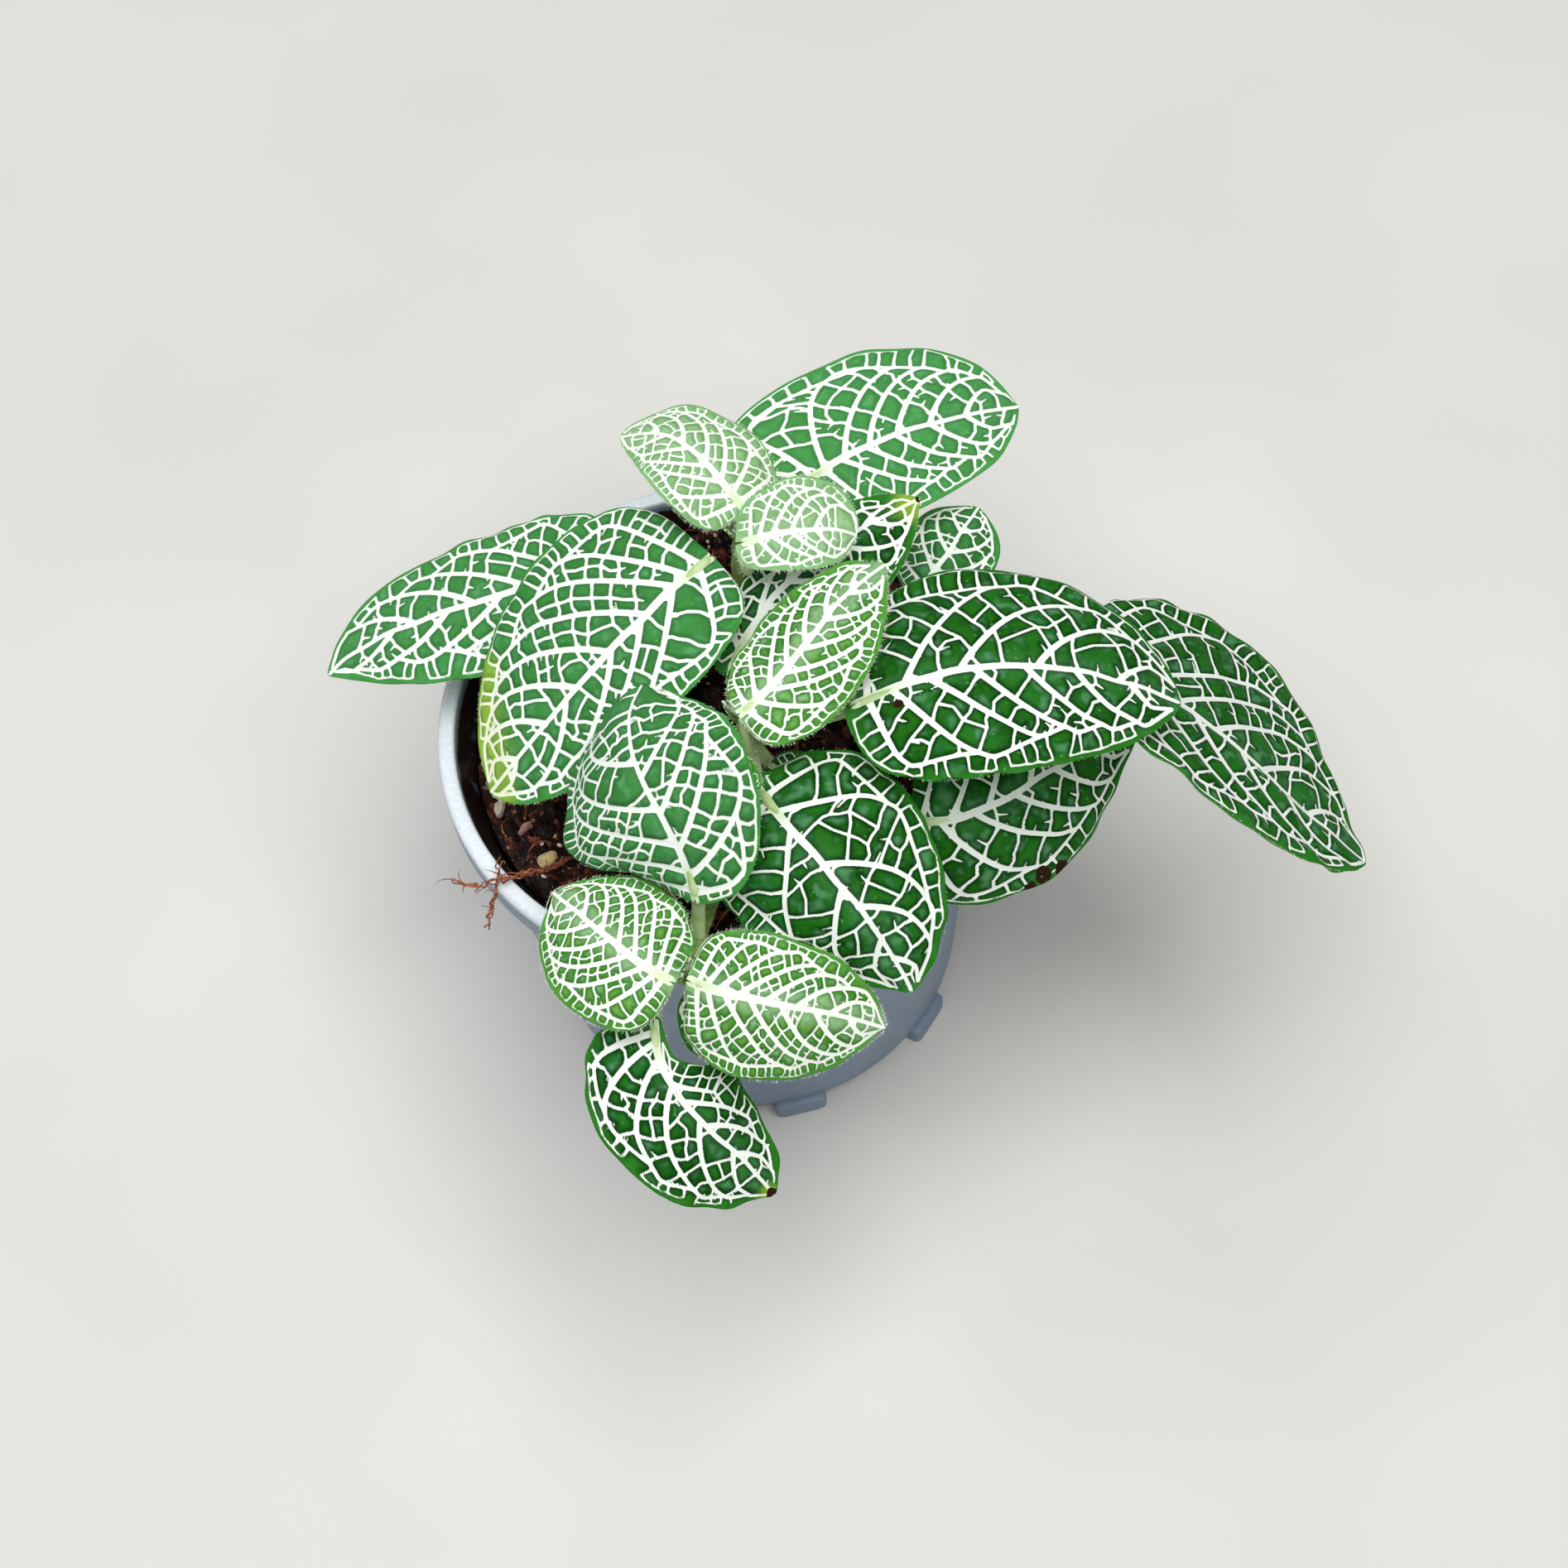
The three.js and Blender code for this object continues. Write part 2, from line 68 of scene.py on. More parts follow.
# Potting mix in mm, and how many crumbs, small grains and fibres it has
SOIL_LEVEL = 47
SOIL_BUMP = 0.8
SOIL_REACH = 26.2
SOIL_BOTTOM = 4
BANK_START = 22.5
BANK_RISE = 1.7
CRUMB_COUNT = 2400
GRAIN_COUNT = 340
GRAIN_REACH = 25.2
FIBRE_COUNT = 260
FIBRE_REACH = 25

# Stems, stalks and blades in mm; the slant and curve of the blades' rows, and the stations between
# which a notch ends
STEM_RADIUS = 1.15
STALK_RADIUS = 0.72
BLADE_THICKNESS = 0.55
EDGE_THICKNESS = 0.16
VEIN_SLANT = 0.6
SIDE_POWER = 1.5
NOTCH_START = 0.12
NOTCH_END = 0.4

# Fine form of the blades, in mm: space between points, puffed fields and cells, and waves
POINT_STEP = 0.17
YOUNG_STEP_LESS = 0.03
FIELD_PUFF = 0.24
CELL_PUFF = 0.13
VEIN_DEPTH = 0.1
BLADE_WAVE = 0.1
RIM_WAVE = 0.22

# Widths of the veins in mm on a blade 30 mm long: the midrib's at its tip, what it gains towards
# its base on any leaf and on a young one, the same for side veins, and a fine vein's, with what
# that gains on a pale leaf
MIDRIB_TIP = 0.42
MIDRIB_GAIN = 0.6
YOUNG_MIDRIB_GAIN = 0.35
SIDE_VEIN_TIP = 0.38
SIDE_VEIN_GAIN = 0.3
FINE_VEIN = 0.31
PALE_GAIN = 0.1

# Down: radius of a hair, hairs for each mm of blade, for each stalk and for each stem
HAIR_RADIUS = 0.022
RIM_HAIRS = 9
YOUNG_RIM_HAIRS = 26
STALK_HAIRS = 120
STEM_HAIRS = 420

# Seeds of all that is placed or shaped at random
CRUMB_SEED = 5
GRAIN_SEED = 11
FIBRE_SEED = 21
STRAND_SEED = 31
DOWN_SEED = 61
LEAF_SEED = 300

# Camera in metres, fitted to the photograph, and its angle of view in degrees
CAMERA_PLACE = (0.00589, -0.17493, 0.35064)
CAMERA_RIGHT = [0.9877, -0.1368, -0.0758]
CAMERA_UP = [0.1564, 0.8638, 0.4788]
CAMERA_FORWARD = [0.0, 0.4848, -0.8746]
VIEW_ANGLE = 27
SENSOR_WIDTH = 36

# Studio: floor size in metres, sky, and soft boxes as place and size in metres, power and colour
FLOOR_SIZE = 6
SKY_COLOUR = (0.93, 0.96, 1.0, 1)
SKY_STRENGTH = 0.16
SOFT_BOXES = {
    "sky_light": ((0.08, -0.2, 0.84), 0.6, 7.2, (1.0, 0.99, 0.97)),
    "fill_light": ((-0.55, 0.3, 0.6), 0.7, 2.2, (0.95, 0.98, 1.0)),
}

# Lines of the stems in mm, from deep in the mix to the tip
STEMS = {
    "front": [[-1, -13, 38], [-1.5, -15, 46], [-3, -22, 54.5], [-5.5, -29.5, 58],
              [-7, -34.5, 61.5]],
    "middle": [[3, -2, 38], [3, -3, 46], [3, -7, 58], [3, -12, 68], [3, -13.5, 73.5]],
    "back": [[2.5, 7, 38], [2.5, 7, 46], [4, 7, 60], [5.5, 6.8, 75]],
    "right": [[14, 3, 38], [14, 2, 46], [17, 0, 53], [23, -3, 59]],
}

# Each leaf as the solids have it: the stem it grows on and where along it, the blade's base and
# tip, how far the two inner points of its midrib are lifted and pushed aside, its width and the
# station where it is widest, how blunt its base and its tip are, its roll in degrees, its fold
# across, how much wider the right half is, how far the base lobes reach back, and the notch of its
# left half. Then its net: the size of its cells in mm, and the stations where side veins leave the
# midrib on the left and on the right, as seen from the base. Last come its share of young tissue,
# its share of pale colour, which paints the whole leaf lighter as painted light, and its yellow and
# brown marks as (station, way across, radius in mm).
LEAVES = {
    "leaf_back_left": dict(
        stem="back", at=0.45, base=[-9, 15.5, 64], tip=[-40, 9.5, 57], rise=[2, 4], sweep=[-4, 2],
        width=16.5, widest=0.25, blunt=[0.58, 0.95], roll=-3, fold=-0.18, skew=0.02, lobe=0.06,
        cell=2.2, veins=([0.02, 0.1, 0.22, 0.36, 0.54, 0.74], [0.03, 0.12, 0.27, 0.45, 0.66]),
        pale=0.4),
    "leaf_left": dict(
        stem="back", at=0.75, base=[2, 5.5, 74], tip=[-24, -9.5, 60], rise=[4.5, 3.5],
        sweep=[-0.5, -1], width=23.5, widest=0.25, blunt=[0.52, 0.71], roll=1, fold=-0.09,
        skew=0.21, lobe=0.01, cell=2.0,
        veins=([0.04, 0.14, 0.27, 0.4, 0.61, 0.86],
               [0.03, 0.08, 0.13, 0.25, 0.41, 0.56, 0.71, 0.86]),
        yellow=[(0.8, 1, 4), (0.92, 0.9, 4.4), (0.98, 0.4, 3.4), (0.96, -0.5, 2.4), (0.66, 1, 3)],
        pale=0.35),
    "leaf_young_back_left": dict(
        stem="back", at=0.88, base=[6, 8.5, 78], tip=[-5, 19, 78], rise=[2, 3], sweep=[1.5, 3.5],
        width=13, widest=0.25, blunt=[0.53, 0.69], roll=13, fold=-0.14, skew=0.07, lobe=0.06,
        cell=1.25,
        veins=([0.02, 0.08, 0.18, 0.32, 0.5, 0.7], [0.02, 0.09, 0.2, 0.36, 0.56, 0.76]),
        young=0.9, pale=0.5),
    "leaf_young_back_right": dict(
        stem="back", at=0.95, base=[6, 4.2, 78], tip=[17, 3.5, 77], rise=[2, 2], sweep=[0.5, -0.5],
        width=10, widest=0.4, blunt=[0.47, 0.68], roll=12, fold=-0.05, skew=-0.18, lobe=0.12,
        cell=1.1, veins=([0.03, 0.1, 0.22, 0.4, 0.62], [0.03, 0.1, 0.22, 0.4, 0.62]),
        young=1.0, pale=0.5),
    "leaf_back": dict(
        stem="back", at=0.75, base=[13, 16.2, 68.8], tip=[36.5, 22.2, 67.8], rise=[1, 1.5],
        sweep=[-2.5, -1], width=20.5, widest=0.25, blunt=[0.38, 0.8], roll=4, fold=-0.07,
        skew=-0.12, lobe=0.3, cell=2.1,
        veins=([0, 0.035, 0.1, 0.2, 0.32, 0.45, 0.6, 0.76],
               [0, 0.03, 0.09, 0.18, 0.3, 0.44, 0.6, 0.76]),
        pale=0.45),
    "leaf_inner_back": dict(
        stem="middle", at=0.6, base=[2.8, -3.8, 68.5], tip=[24, 8.4, 74.2], rise=[1.5, 1],
        sweep=[-3.8, -2.6], width=12, widest=0.38, blunt=[0.5, 1], roll=0, fold=-0.12,
        skew=0.27, lobe=0.06, cell=1.8,
        veins=([0.05, 0.2, 0.38, 0.56, 0.76], [0.1, 0.24, 0.38, 0.62, 0.8]),
        yellow=[(0.98, 0, 2.4), (0.1, 0.8, 1.6)], brown=[(1, 0, 0.5), (0.16, 1, 0.5)]),
    "leaf_small_back_right": dict(
        stem="right", at=0.55, base=[23, 5.5, 62], tip=[30.5, 13, 64], rise=[1, 0.5], sweep=[1, 0],
        width=10.5, widest=0.33, blunt=[0.51, 0.74], roll=2, fold=-0.15, skew=-0.02, lobe=0.11,
        cell=1.3, veins=([0.04, 0.2, 0.45, 0.7], [0.04, 0.2, 0.45, 0.7]), young=0.3, pale=0.3),
    "leaf_right": dict(
        stem="middle", at=0.82, base=[14.5, -15, 76], tip=[45.5, -18.5, 72], rise=[6, 4.5],
        sweep=[-2.5, -2.5], width=25, widest=0.25, blunt=[0.76, 0.75], roll=-4, fold=-0.21,
        skew=-0.12, lobe=0.06, cell=2.5,
        veins=([0.02, 0.13, 0.3, 0.54, 0.8], [0.02, 0.09, 0.2, 0.34, 0.5, 0.66, 0.84]),
        brown=[(0.1, 0.2, 0.55)]),
    "leaf_far_right": dict(
        stem="right", at=0.9, base=[37, -7.5, 67], tip=[63.5, -28, 50], rise=[4.5, 3],
        sweep=[-2, 1], width=30, widest=0.25, blunt=[0.58, 0.88], roll=-34, fold=0.02, skew=-0.21,
        lobe=0.01, cell=2.5,
        veins=([0.02, 0.08, 0.18, 0.3, 0.43, 0.6, 0.78], [0.02, 0.1, 0.22, 0.36, 0.52, 0.7])),
    "leaf_under_right": dict(
        stem="right", at=0.75, base=[18, -21.5, 62], tip=[42, -15, 60], rise=[1, 1.5],
        sweep=[5, -2], width=19, widest=0.25, blunt=[0.39, 0.79], roll=34, fold=-0.38, skew=0.04,
        lobe=0.01, cell=2.5,
        veins=([0.03, 0.14, 0.3, 0.5, 0.73], [0.03, 0.1, 0.24, 0.42, 0.62, 0.82]),
        brown=[(0.3, 0.93, 0.9), (0.36, 0.98, 0.9), (0.25, 0.97, 0.6)]),
    "leaf_centre": dict(
        stem="middle", at=0.88, base=[3, -14.5, 77], tip=[19, -2.5, 80], rise=[0.5, 0.5],
        sweep=[1.5, -2], width=13, widest=0.25, blunt=[0.66, 0.79], roll=-6, fold=-0.18, skew=0.07,
        lobe=0.03, cell=1.3,
        veins=([0.02, 0.08, 0.17, 0.3, 0.45, 0.62, 0.8],
               [0.02, 0.08, 0.16, 0.27, 0.42, 0.6, 0.78]),
        young=0.7),
    "leaf_front_left": dict(
        stem="front", at=0.72, base=[-4.5, -29, 68], tip=[-6.5, -8.5, 75], rise=[4.5, 5.5],
        sweep=[0.5, -6], width=23.5, widest=0.38, blunt=[0.67, 0.63], roll=-36, fold=-0.33,
        skew=-0.15, lobe=0.04, cell=1.75,
        veins=([0.02, 0.1, 0.22, 0.39, 0.62], [0.01, 0.08, 0.2, 0.37, 0.55]), pale=0.35),
    "leaf_young_front_left": dict(
        stem="front", at=0.83, base=[-8.3, -35.9, 64.8], tip=[-18.5, -23.8, 63.6], rise=[2.5, 2],
        sweep=[-1.5, -0.5], width=15, widest=0.27, blunt=[0.54, 0.81], roll=-10, fold=-0.27,
        skew=-0.01, lobe=0.06, cell=1.2,
        veins=([0.02, 0.07, 0.14, 0.26, 0.42, 0.6, 0.78],
               [0.02, 0.06, 0.12, 0.22, 0.35, 0.5, 0.68]),
        young=0.85),
    "leaf_young_front_right": dict(
        stem="front", at=0.83, base=[-5.8, -36.8, 65], tip=[12, -42.5, 60], rise=[4, 2.5],
        sweep=[2.5, 0.5], width=14.5, widest=0.25, blunt=[0.54, 0.92], roll=34, fold=-0.24,
        skew=0.12, lobe=0.045, cell=1.2,
        veins=([0.02, 0.06, 0.12, 0.22, 0.36, 0.52, 0.7],
               [0.02, 0.07, 0.15, 0.28, 0.44, 0.62, 0.8]),
        young=0.85),
    "leaf_front": dict(
        stem="front", at=0.72, base=[-10.5, -38, 59], tip=[-1.5, -53, 48], rise=[2.5, 2],
        sweep=[5, 0], width=15, widest=0.25, blunt=[0.62, 0.85], roll=-2, fold=-0.22, skew=0.12,
        lobe=0.05, notch=0.8, cell=1.75,
        veins=([0.25, 0.36, 0.52, 0.72], [0.02, 0.06, 0.13, 0.27, 0.48, 0.7]),
        yellow=[(0.97, 0.5, 1.1)],
        brown=[(0.99, 0.2, 0.7), (0.3, -0.97, 0.4), (0.24, -0.98, 0.35), (0.36, -0.98, 0.35)]),
    "leaf_front_right": dict(
        stem="middle", at=0.72, base=[3.5, -20.5, 71], tip=[15, -39.5, 61], rise=[5, 3.5],
        sweep=[1, -1], width=21, widest=0.25, blunt=[0.72, 0.83], roll=21, fold=-0.36, skew=-0.01,
        lobe=0.08, cell=2.3,
        veins=([0.02, 0.1, 0.38, 0.6, 0.85], [0.04, 0.19, 0.5, 0.76]),
        brown=[(0.67, 0.95, 0.5)]),
    "leaf_small_centre": dict(
        stem="middle", at=0.79, base=[0.2, -17.4, 73.8], tip=[0.8, -23.4, 72.8], rise=[0.5, 0.5],
        sweep=[0, 0], width=6.5, widest=0.35, blunt=[0.55, 0.7], roll=0, fold=0, skew=0, lobe=0,
        cell=0.9, veins=([0.05, 0.25, 0.5, 0.75], [0.05, 0.25, 0.5, 0.75]), young=1.0),
    "leaf_small_shade": dict(
        stem="middle", at=0.55, base=[5, -12, 61], tip=[12, -20, 59], rise=[1, 1], sweep=[0, 0],
        width=8, widest=0.35, blunt=[0.55, 0.7], roll=0, fold=-0.1, skew=0, lobe=0.05,
        cell=1.4, veins=([0.05, 0.25, 0.5, 0.75], [0.05, 0.25, 0.5, 0.75])),
    "leaf_small_front": dict(
        stem="front", at=0.78, base=[-6.2, -34.4, 58.2], tip=[-5.6, -41, 56.2], rise=[0.5, 0.5],
        sweep=[0, 0], width=4.5, widest=0.35, blunt=[0.55, 0.7], roll=0, fold=0, skew=0, lobe=0,
        cell=0.9, veins=([0.05, 0.25, 0.5, 0.75], [0.05, 0.25, 0.5, 0.75])),
}


# ---- meshes --------------------------------------------------------------------------------


def unit(vectors):
    """Each vector divided by its length."""
    length = np.linalg.norm(vectors, axis=-1, keepdims=True)
    return vectors / np.maximum(length, 1e-9)


def grid_faces(rows, columns, first=0, wrap=False):
    """Four-sided faces of a grid of points stored row by row, closed round its columns if wrap."""
    across = np.arange(columns if wrap else columns - 1)
    i, j = np.meshgrid(np.arange(rows - 1) * columns, across, indexing="ij")
    k = (j + 1) % columns
    faces = np.stack([i + j, i + k, i + columns + k, i + columns + j], -1)
    return faces.reshape(-1, 4) + first


def fan(centre, ring, after):
    """A triangle from one centre point to each point of a ring and the one after it."""
    return np.stack([np.full(len(ring), centre), ring, after], 1)


def pole_fans(rows, columns):
    """Fans that close a wrapped grid: from the point that follows the grid's own to its first row,
    and from the next one to its last row."""
    j = np.arange(columns)
    k = (j + 1) % columns
    pole, last = rows * columns, (rows - 1) * columns
    return np.concatenate([fan(pole, k, j), fan(pole + 1, last + j, last + k)])


def ring_angles(count):
    """Angles of that many points, evenly spaced round a circle."""
    return np.linspace(0, 2 * np.pi, count, endpoint=False)


def make_piece(name, points, quads, triangles, replaces=(), attributes=None, smooth=True):
    """A mesh from points in mm, its faces and a float per point for each named attribute."""
    quads = np.asarray(quads, np.int32).reshape(-1, 4)
    triangles = np.asarray(triangles, np.int32).reshape(-1, 3)
    mesh = bpy.data.meshes.new(name)
    mesh.vertices.add(len(points))
    mesh.vertices.foreach_set("co", (np.asarray(points, np.float32) * MM).ravel())
    corners = np.concatenate([quads.ravel(), triangles.ravel()])
    mesh.loops.add(len(corners))
    mesh.loops.foreach_set("vertex_index", corners)
    after = len(quads) * 4 + np.arange(len(triangles)) * 3
    starts = np.concatenate([np.arange(len(quads)) * 4, after])
    mesh.polygons.add(len(starts))
    mesh.polygons.foreach_set("loop_start", starts.astype(np.int32))
    mesh.update(calc_edges=True)
    mesh.polygons.foreach_set("use_smooth", np.full(len(starts), smooth))
    for key, values in (attributes or {}).items():
        layer = mesh.attributes.new(key, "FLOAT", "POINT")
        layer.data.foreach_set("value", np.asarray(values, np.float32))
    mesh.validate()
    piece = bpy.data.objects.new(name, mesh)
    bpy.context.scene.collection.objects.link(piece)
    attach(piece, "root")
    if replaces:
        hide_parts(*replaces)
    return piece


class Heap:
    """Points, faces and attributes of several shapes that become one mesh."""

    def __init__(self, *names):
        self.points, self.quads, self.triangles = [], [], []
        self.values = {name: [] for name in names}
        self.count = 0

    def put(self, points, quads=(), triangles=(), **values):
        """Adds a shape. A value is one number for all its points or one for each."""
        points = np.asarray(points).reshape(-1, 3)
        self.points.append(points)
        self.quads.append(np.asarray(quads, int).reshape(-1, 4) + self.count)
        self.triangles.append(np.asarray(triangles, int).reshape(-1, 3) + self.count)
        for name, store in self.values.items():
            store.append(np.broadcast_to(values.get(name, 0.0), len(points)))
        self.count += len(points)

    def piece(self, name, slot, replaces=(), smooth=True):
        """The finished piece, made of all the shapes."""
        values = {key: np.concatenate(store) for key, store in self.values.items()}
        return make_piece(name, np.concatenate(self.points), np.concatenate(self.quads),
                          np.concatenate(self.triangles), replaces, values, smooth)


def through(points, shares):
    """Centripetal Catmull-Rom curve through the points, at shares from 0 to 1 of its point count.
    Each span is the cubic whose end slopes come from the neighbouring points, spaced by the square
    root of their distances."""
    points = np.asarray(points, float)
    ends = np.concatenate([[2 * points[0] - points[1]], points, [2 * points[-1] - points[-2]]])
    place = np.clip(np.asarray(shares, float), 0, 1) * (len(points) - 1)
    span = np.minimum(place.astype(int), len(points) - 2)
    t = (place - span)[:, None]
    p0, p1, p2, p3 = (ends[span + k] for k in range(4))
    d0, d1, d2 = (np.sqrt(np.linalg.norm(b - a, axis=1))[:, None]
                  for a, b in ((p0, p1), (p1, p2), (p2, p3)))
    m1 = ((p1 - p0) / d0 - (p2 - p0) / (d0 + d1) + (p2 - p1) / d1) * d1
    m2 = ((p2 - p1) / d1 - (p3 - p1) / (d1 + d2) + (p3 - p2) / d2) * d1
    c2 = -3 * p1 + 3 * p2 - 2 * m1 - m2
    c3 = 2 * p1 - 2 * p2 + m1 + m2
    return p1 + m1 * t + c2 * t ** 2 + c3 * t ** 3


def tube(path, radii, sides):
    """A closed tube: round sections of the given radii square to the path, their side axis carried
    along as the part of a fixed axis that is square to the path, with a cone point at each end."""
    path = np.asarray(path, float)
    along = unit(np.gradient(path, axis=0))
    level = abs(along[:, 2]).mean() < 0.6
    fixed = np.array([0.31, 0.27, 0.91] if level else [0.9, 0.4, 0.1])
    side = unit(fixed - (along @ fixed)[:, None] * along)
    other = np.cross(along, side)
    turn = ring_angles(sides)[None, :, None]
    ring = side[:, None] * np.cos(turn) + other[:, None] * np.sin(turn)
    points = path[:, None] + ring * np.asarray(radii)[:, None, None]
    ends = np.stack([path[0] - along[0] * radii[0] * 0.5, path[-1] + along[-1] * radii[-1] * 0.5])
    return (np.concatenate([points.reshape(-1, 3), ends]),
            grid_faces(len(path), sides, wrap=True), pole_fans(len(path), sides))


def ripple(points, step, seed):
    """Smooth random value, mostly from -1 to 1: a third of the sum of six sine waves with random
    directions and phases, whose length is about one step."""
    rng = np.random.default_rng(seed)
    waves = rng.normal(size=(6, np.shape(points)[-1]))
    waves = unit(waves) * rng.uniform(0.7, 1.6, (6, 1)) * 2 * np.pi / step
    return np.sin(np.asarray(points) @ waves.T + rng.uniform(0, 6.3, 6)).sum(-1) / 3


def smooth_step(low, high, values):
    """The cubic step 3 t^2 - 2 t^3, from 0 at low to 1 at high."""
    share = np.clip((values - low) / (high - low), 0, 1)
    return share * share * (3 - 2 * share)


def run_along(line):
    """Distance run along the line at each of its points."""
    return np.concatenate([[0], np.cumsum(np.linalg.norm(np.diff(line, axis=0), axis=1))])


# ---- leaf shape ----------------------------------------------------------------------------


def rib_frame(leaf, u):
    """Place, along, side and up at stations u of the midrib. The midrib is a cubic curve from base
    to tip, pushed up and aside at its two inner points, and it runs straight on past its ends."""
    base, tip = np.array(leaf["base"], float), np.array(leaf["tip"], float)
    chord = unit(tip - base)
    up = unit(np.array([0, 0, 1.0]) - chord[2] * chord)
    side = np.cross(chord, up)
    p1, p2 = (base + (tip - base) * (k + 1) / 3 + up * leaf["rise"][k] + side * leaf["sweep"][k]
              for k in range(2))
    u = np.asarray(u, float)[..., None]
    held = np.clip(u, 0, 1)
    back = 1 - held
    place = (back ** 3 * base + 3 * back ** 2 * held * p1 + 3 * back * held ** 2 * p2
             + held ** 3 * tip)
    along = unit(3 * back ** 2 * (p1 - base) + 6 * back * held * (p2 - p1)
                 + 3 * held ** 2 * (tip - p2))
    place = place + along * (u - held) * np.linalg.norm(tip - base)
    level = unit(np.array([0, 0, 1.0]) - along[..., 2:] * along)
    roll = math.radians(leaf["roll"])
    raised = level * math.cos(roll) + np.cross(along, level) * math.sin(roll)
    return place, along, np.cross(along, raised), raised


def flat_blade(leaf, s, v):
    """Flat place of blade point (s, v): station along the midrib, and signed width out from it in
    mm. The half width is a power of sin(pi s), wider or narrower by the skew and drawn in on the
    left by the notch. Rows bend forward with the side veins, and back at the base's lobes."""
    angle = np.pi * s
    station = ((1 - np.cos(angle)) / 2) ** (math.log(leaf["widest"]) / math.log(0.5))
    bent = np.abs(v) ** SIDE_POWER
    u = station + bent * (VEIN_SLANT * station * (1 - station) - leaf["lobe"] * (1 - station) ** 3)
    blunt = leaf["blunt"][0] + (leaf["blunt"][1] - leaf["blunt"][0]) * station
    half = leaf["width"] / 2 * np.maximum(np.sin(angle), 0) ** (2 * blunt)
    half = half * np.where(v > 0, 1 + leaf["skew"], 1 - leaf["skew"])
    past_notch = smooth_step(NOTCH_START, NOTCH_END, u)
    half = half * np.where(v < 0, 1 - leaf.get("notch", 0) * (1 - past_notch), 1)
    return u, v * half, half


def blade_surface(leaf, s, v):
    """Points of the blade's upper face: midrib place, plus side times width, plus a fold that
    grows with the square of the way across."""
    u, across, half = flat_blade(leaf, s, v)
    place, _, side, raised = rib_frame(leaf, u)
    return place + side * across[..., None] + raised * (leaf["fold"] * v * v * half)[..., None]


def length_of(leaf):
    """Straight distance from the blade's base to its tip."""
    return float(np.linalg.norm(np.array(leaf["tip"], float) - np.array(leaf["base"], float)))


def flat_mm(leaf, station, across):
    """Flat place in mm of the point at that station of the midrib and that share of the way
    across, by turning the station back into s."""
    key = math.log(leaf["widest"]) / math.log(0.5)
    s = np.arccos(1 - 2 * np.clip(station, 0, 1) ** (1 / key)) / np.pi
    u, out, _ = flat_blade(leaf, s, np.asarray(across, float) + 0 * s)
    return np.stack([u * length_of(leaf), out], -1)


# ---- veins ---------------------------------------------------------------------------------


def walk(line, shares):
    """The line's points at shares from 0 to 1 of its length."""
    run = run_along(line)
    goals = np.asarray(shares) * run[-1]
    return np.stack([np.interp(goals, run, line[:, k]) for k in range(2)], -1)


def line_length(line):
    """Length of a line of straight parts."""
    return float(np.linalg.norm(np.diff(line, axis=0), axis=1).sum())


def side_veins(leaf, side, rng, outer):
    """The side veins of one half, and where on the next one each ends. With t the share of the way
    across, station = start + lean t + 0.6 (1 - start) t^p: each leaves the midrib leaning forward
    and turns along the margin, the later the nearer to the base it starts. Once it comes within
    a cell of the next one it joins it, so they make a chain of loops."""
    veins, joins = [], []
    for start in reversed(leaf["veins"][0 if side < 0 else 1]):
        lean = min(0.02 + 1.7 * start, 0.04 + 0.32 * (1 - start))
        power = min(3 + 1.2 / (start + 0.02), 22)
        t = np.linspace(0, 0.86 - 0.1 * start, 61)
        station = start + lean * t + 0.6 * (1 - start) * t ** power
        line = flat_mm(leaf, np.clip(station, 0, 0.98), side * t)
        line = line + (ripple(line, 6, rng.integers(999)) * 0.2 * t)[:, None] * [0.6, side]
        goal = veins[0] if veins else outer
        gaps = np.linalg.norm(line[:, None] - goal[None], axis=2)
        close = np.flatnonzero((t > 0.5) & (gaps.min(1) < 0.75 * leaf["cell"]))
        last = close[0] if len(close) else 60
        near = int(gaps[last].argmin())
        ahead = np.linalg.norm(goal[near:] - goal[near], axis=1) > 1.1 * gaps[last, near]
        join = near + int(ahead.argmax()) if ahead.any() else len(goal) - 1
        knots = np.concatenate([walk(line[:last + 1], np.linspace(0, 1, 12)), goal[join:join + 1]])
        veins.insert(0, through(knots, np.linspace(0, 1, 80)))
        joins.insert(0, join)
    return veins, joins


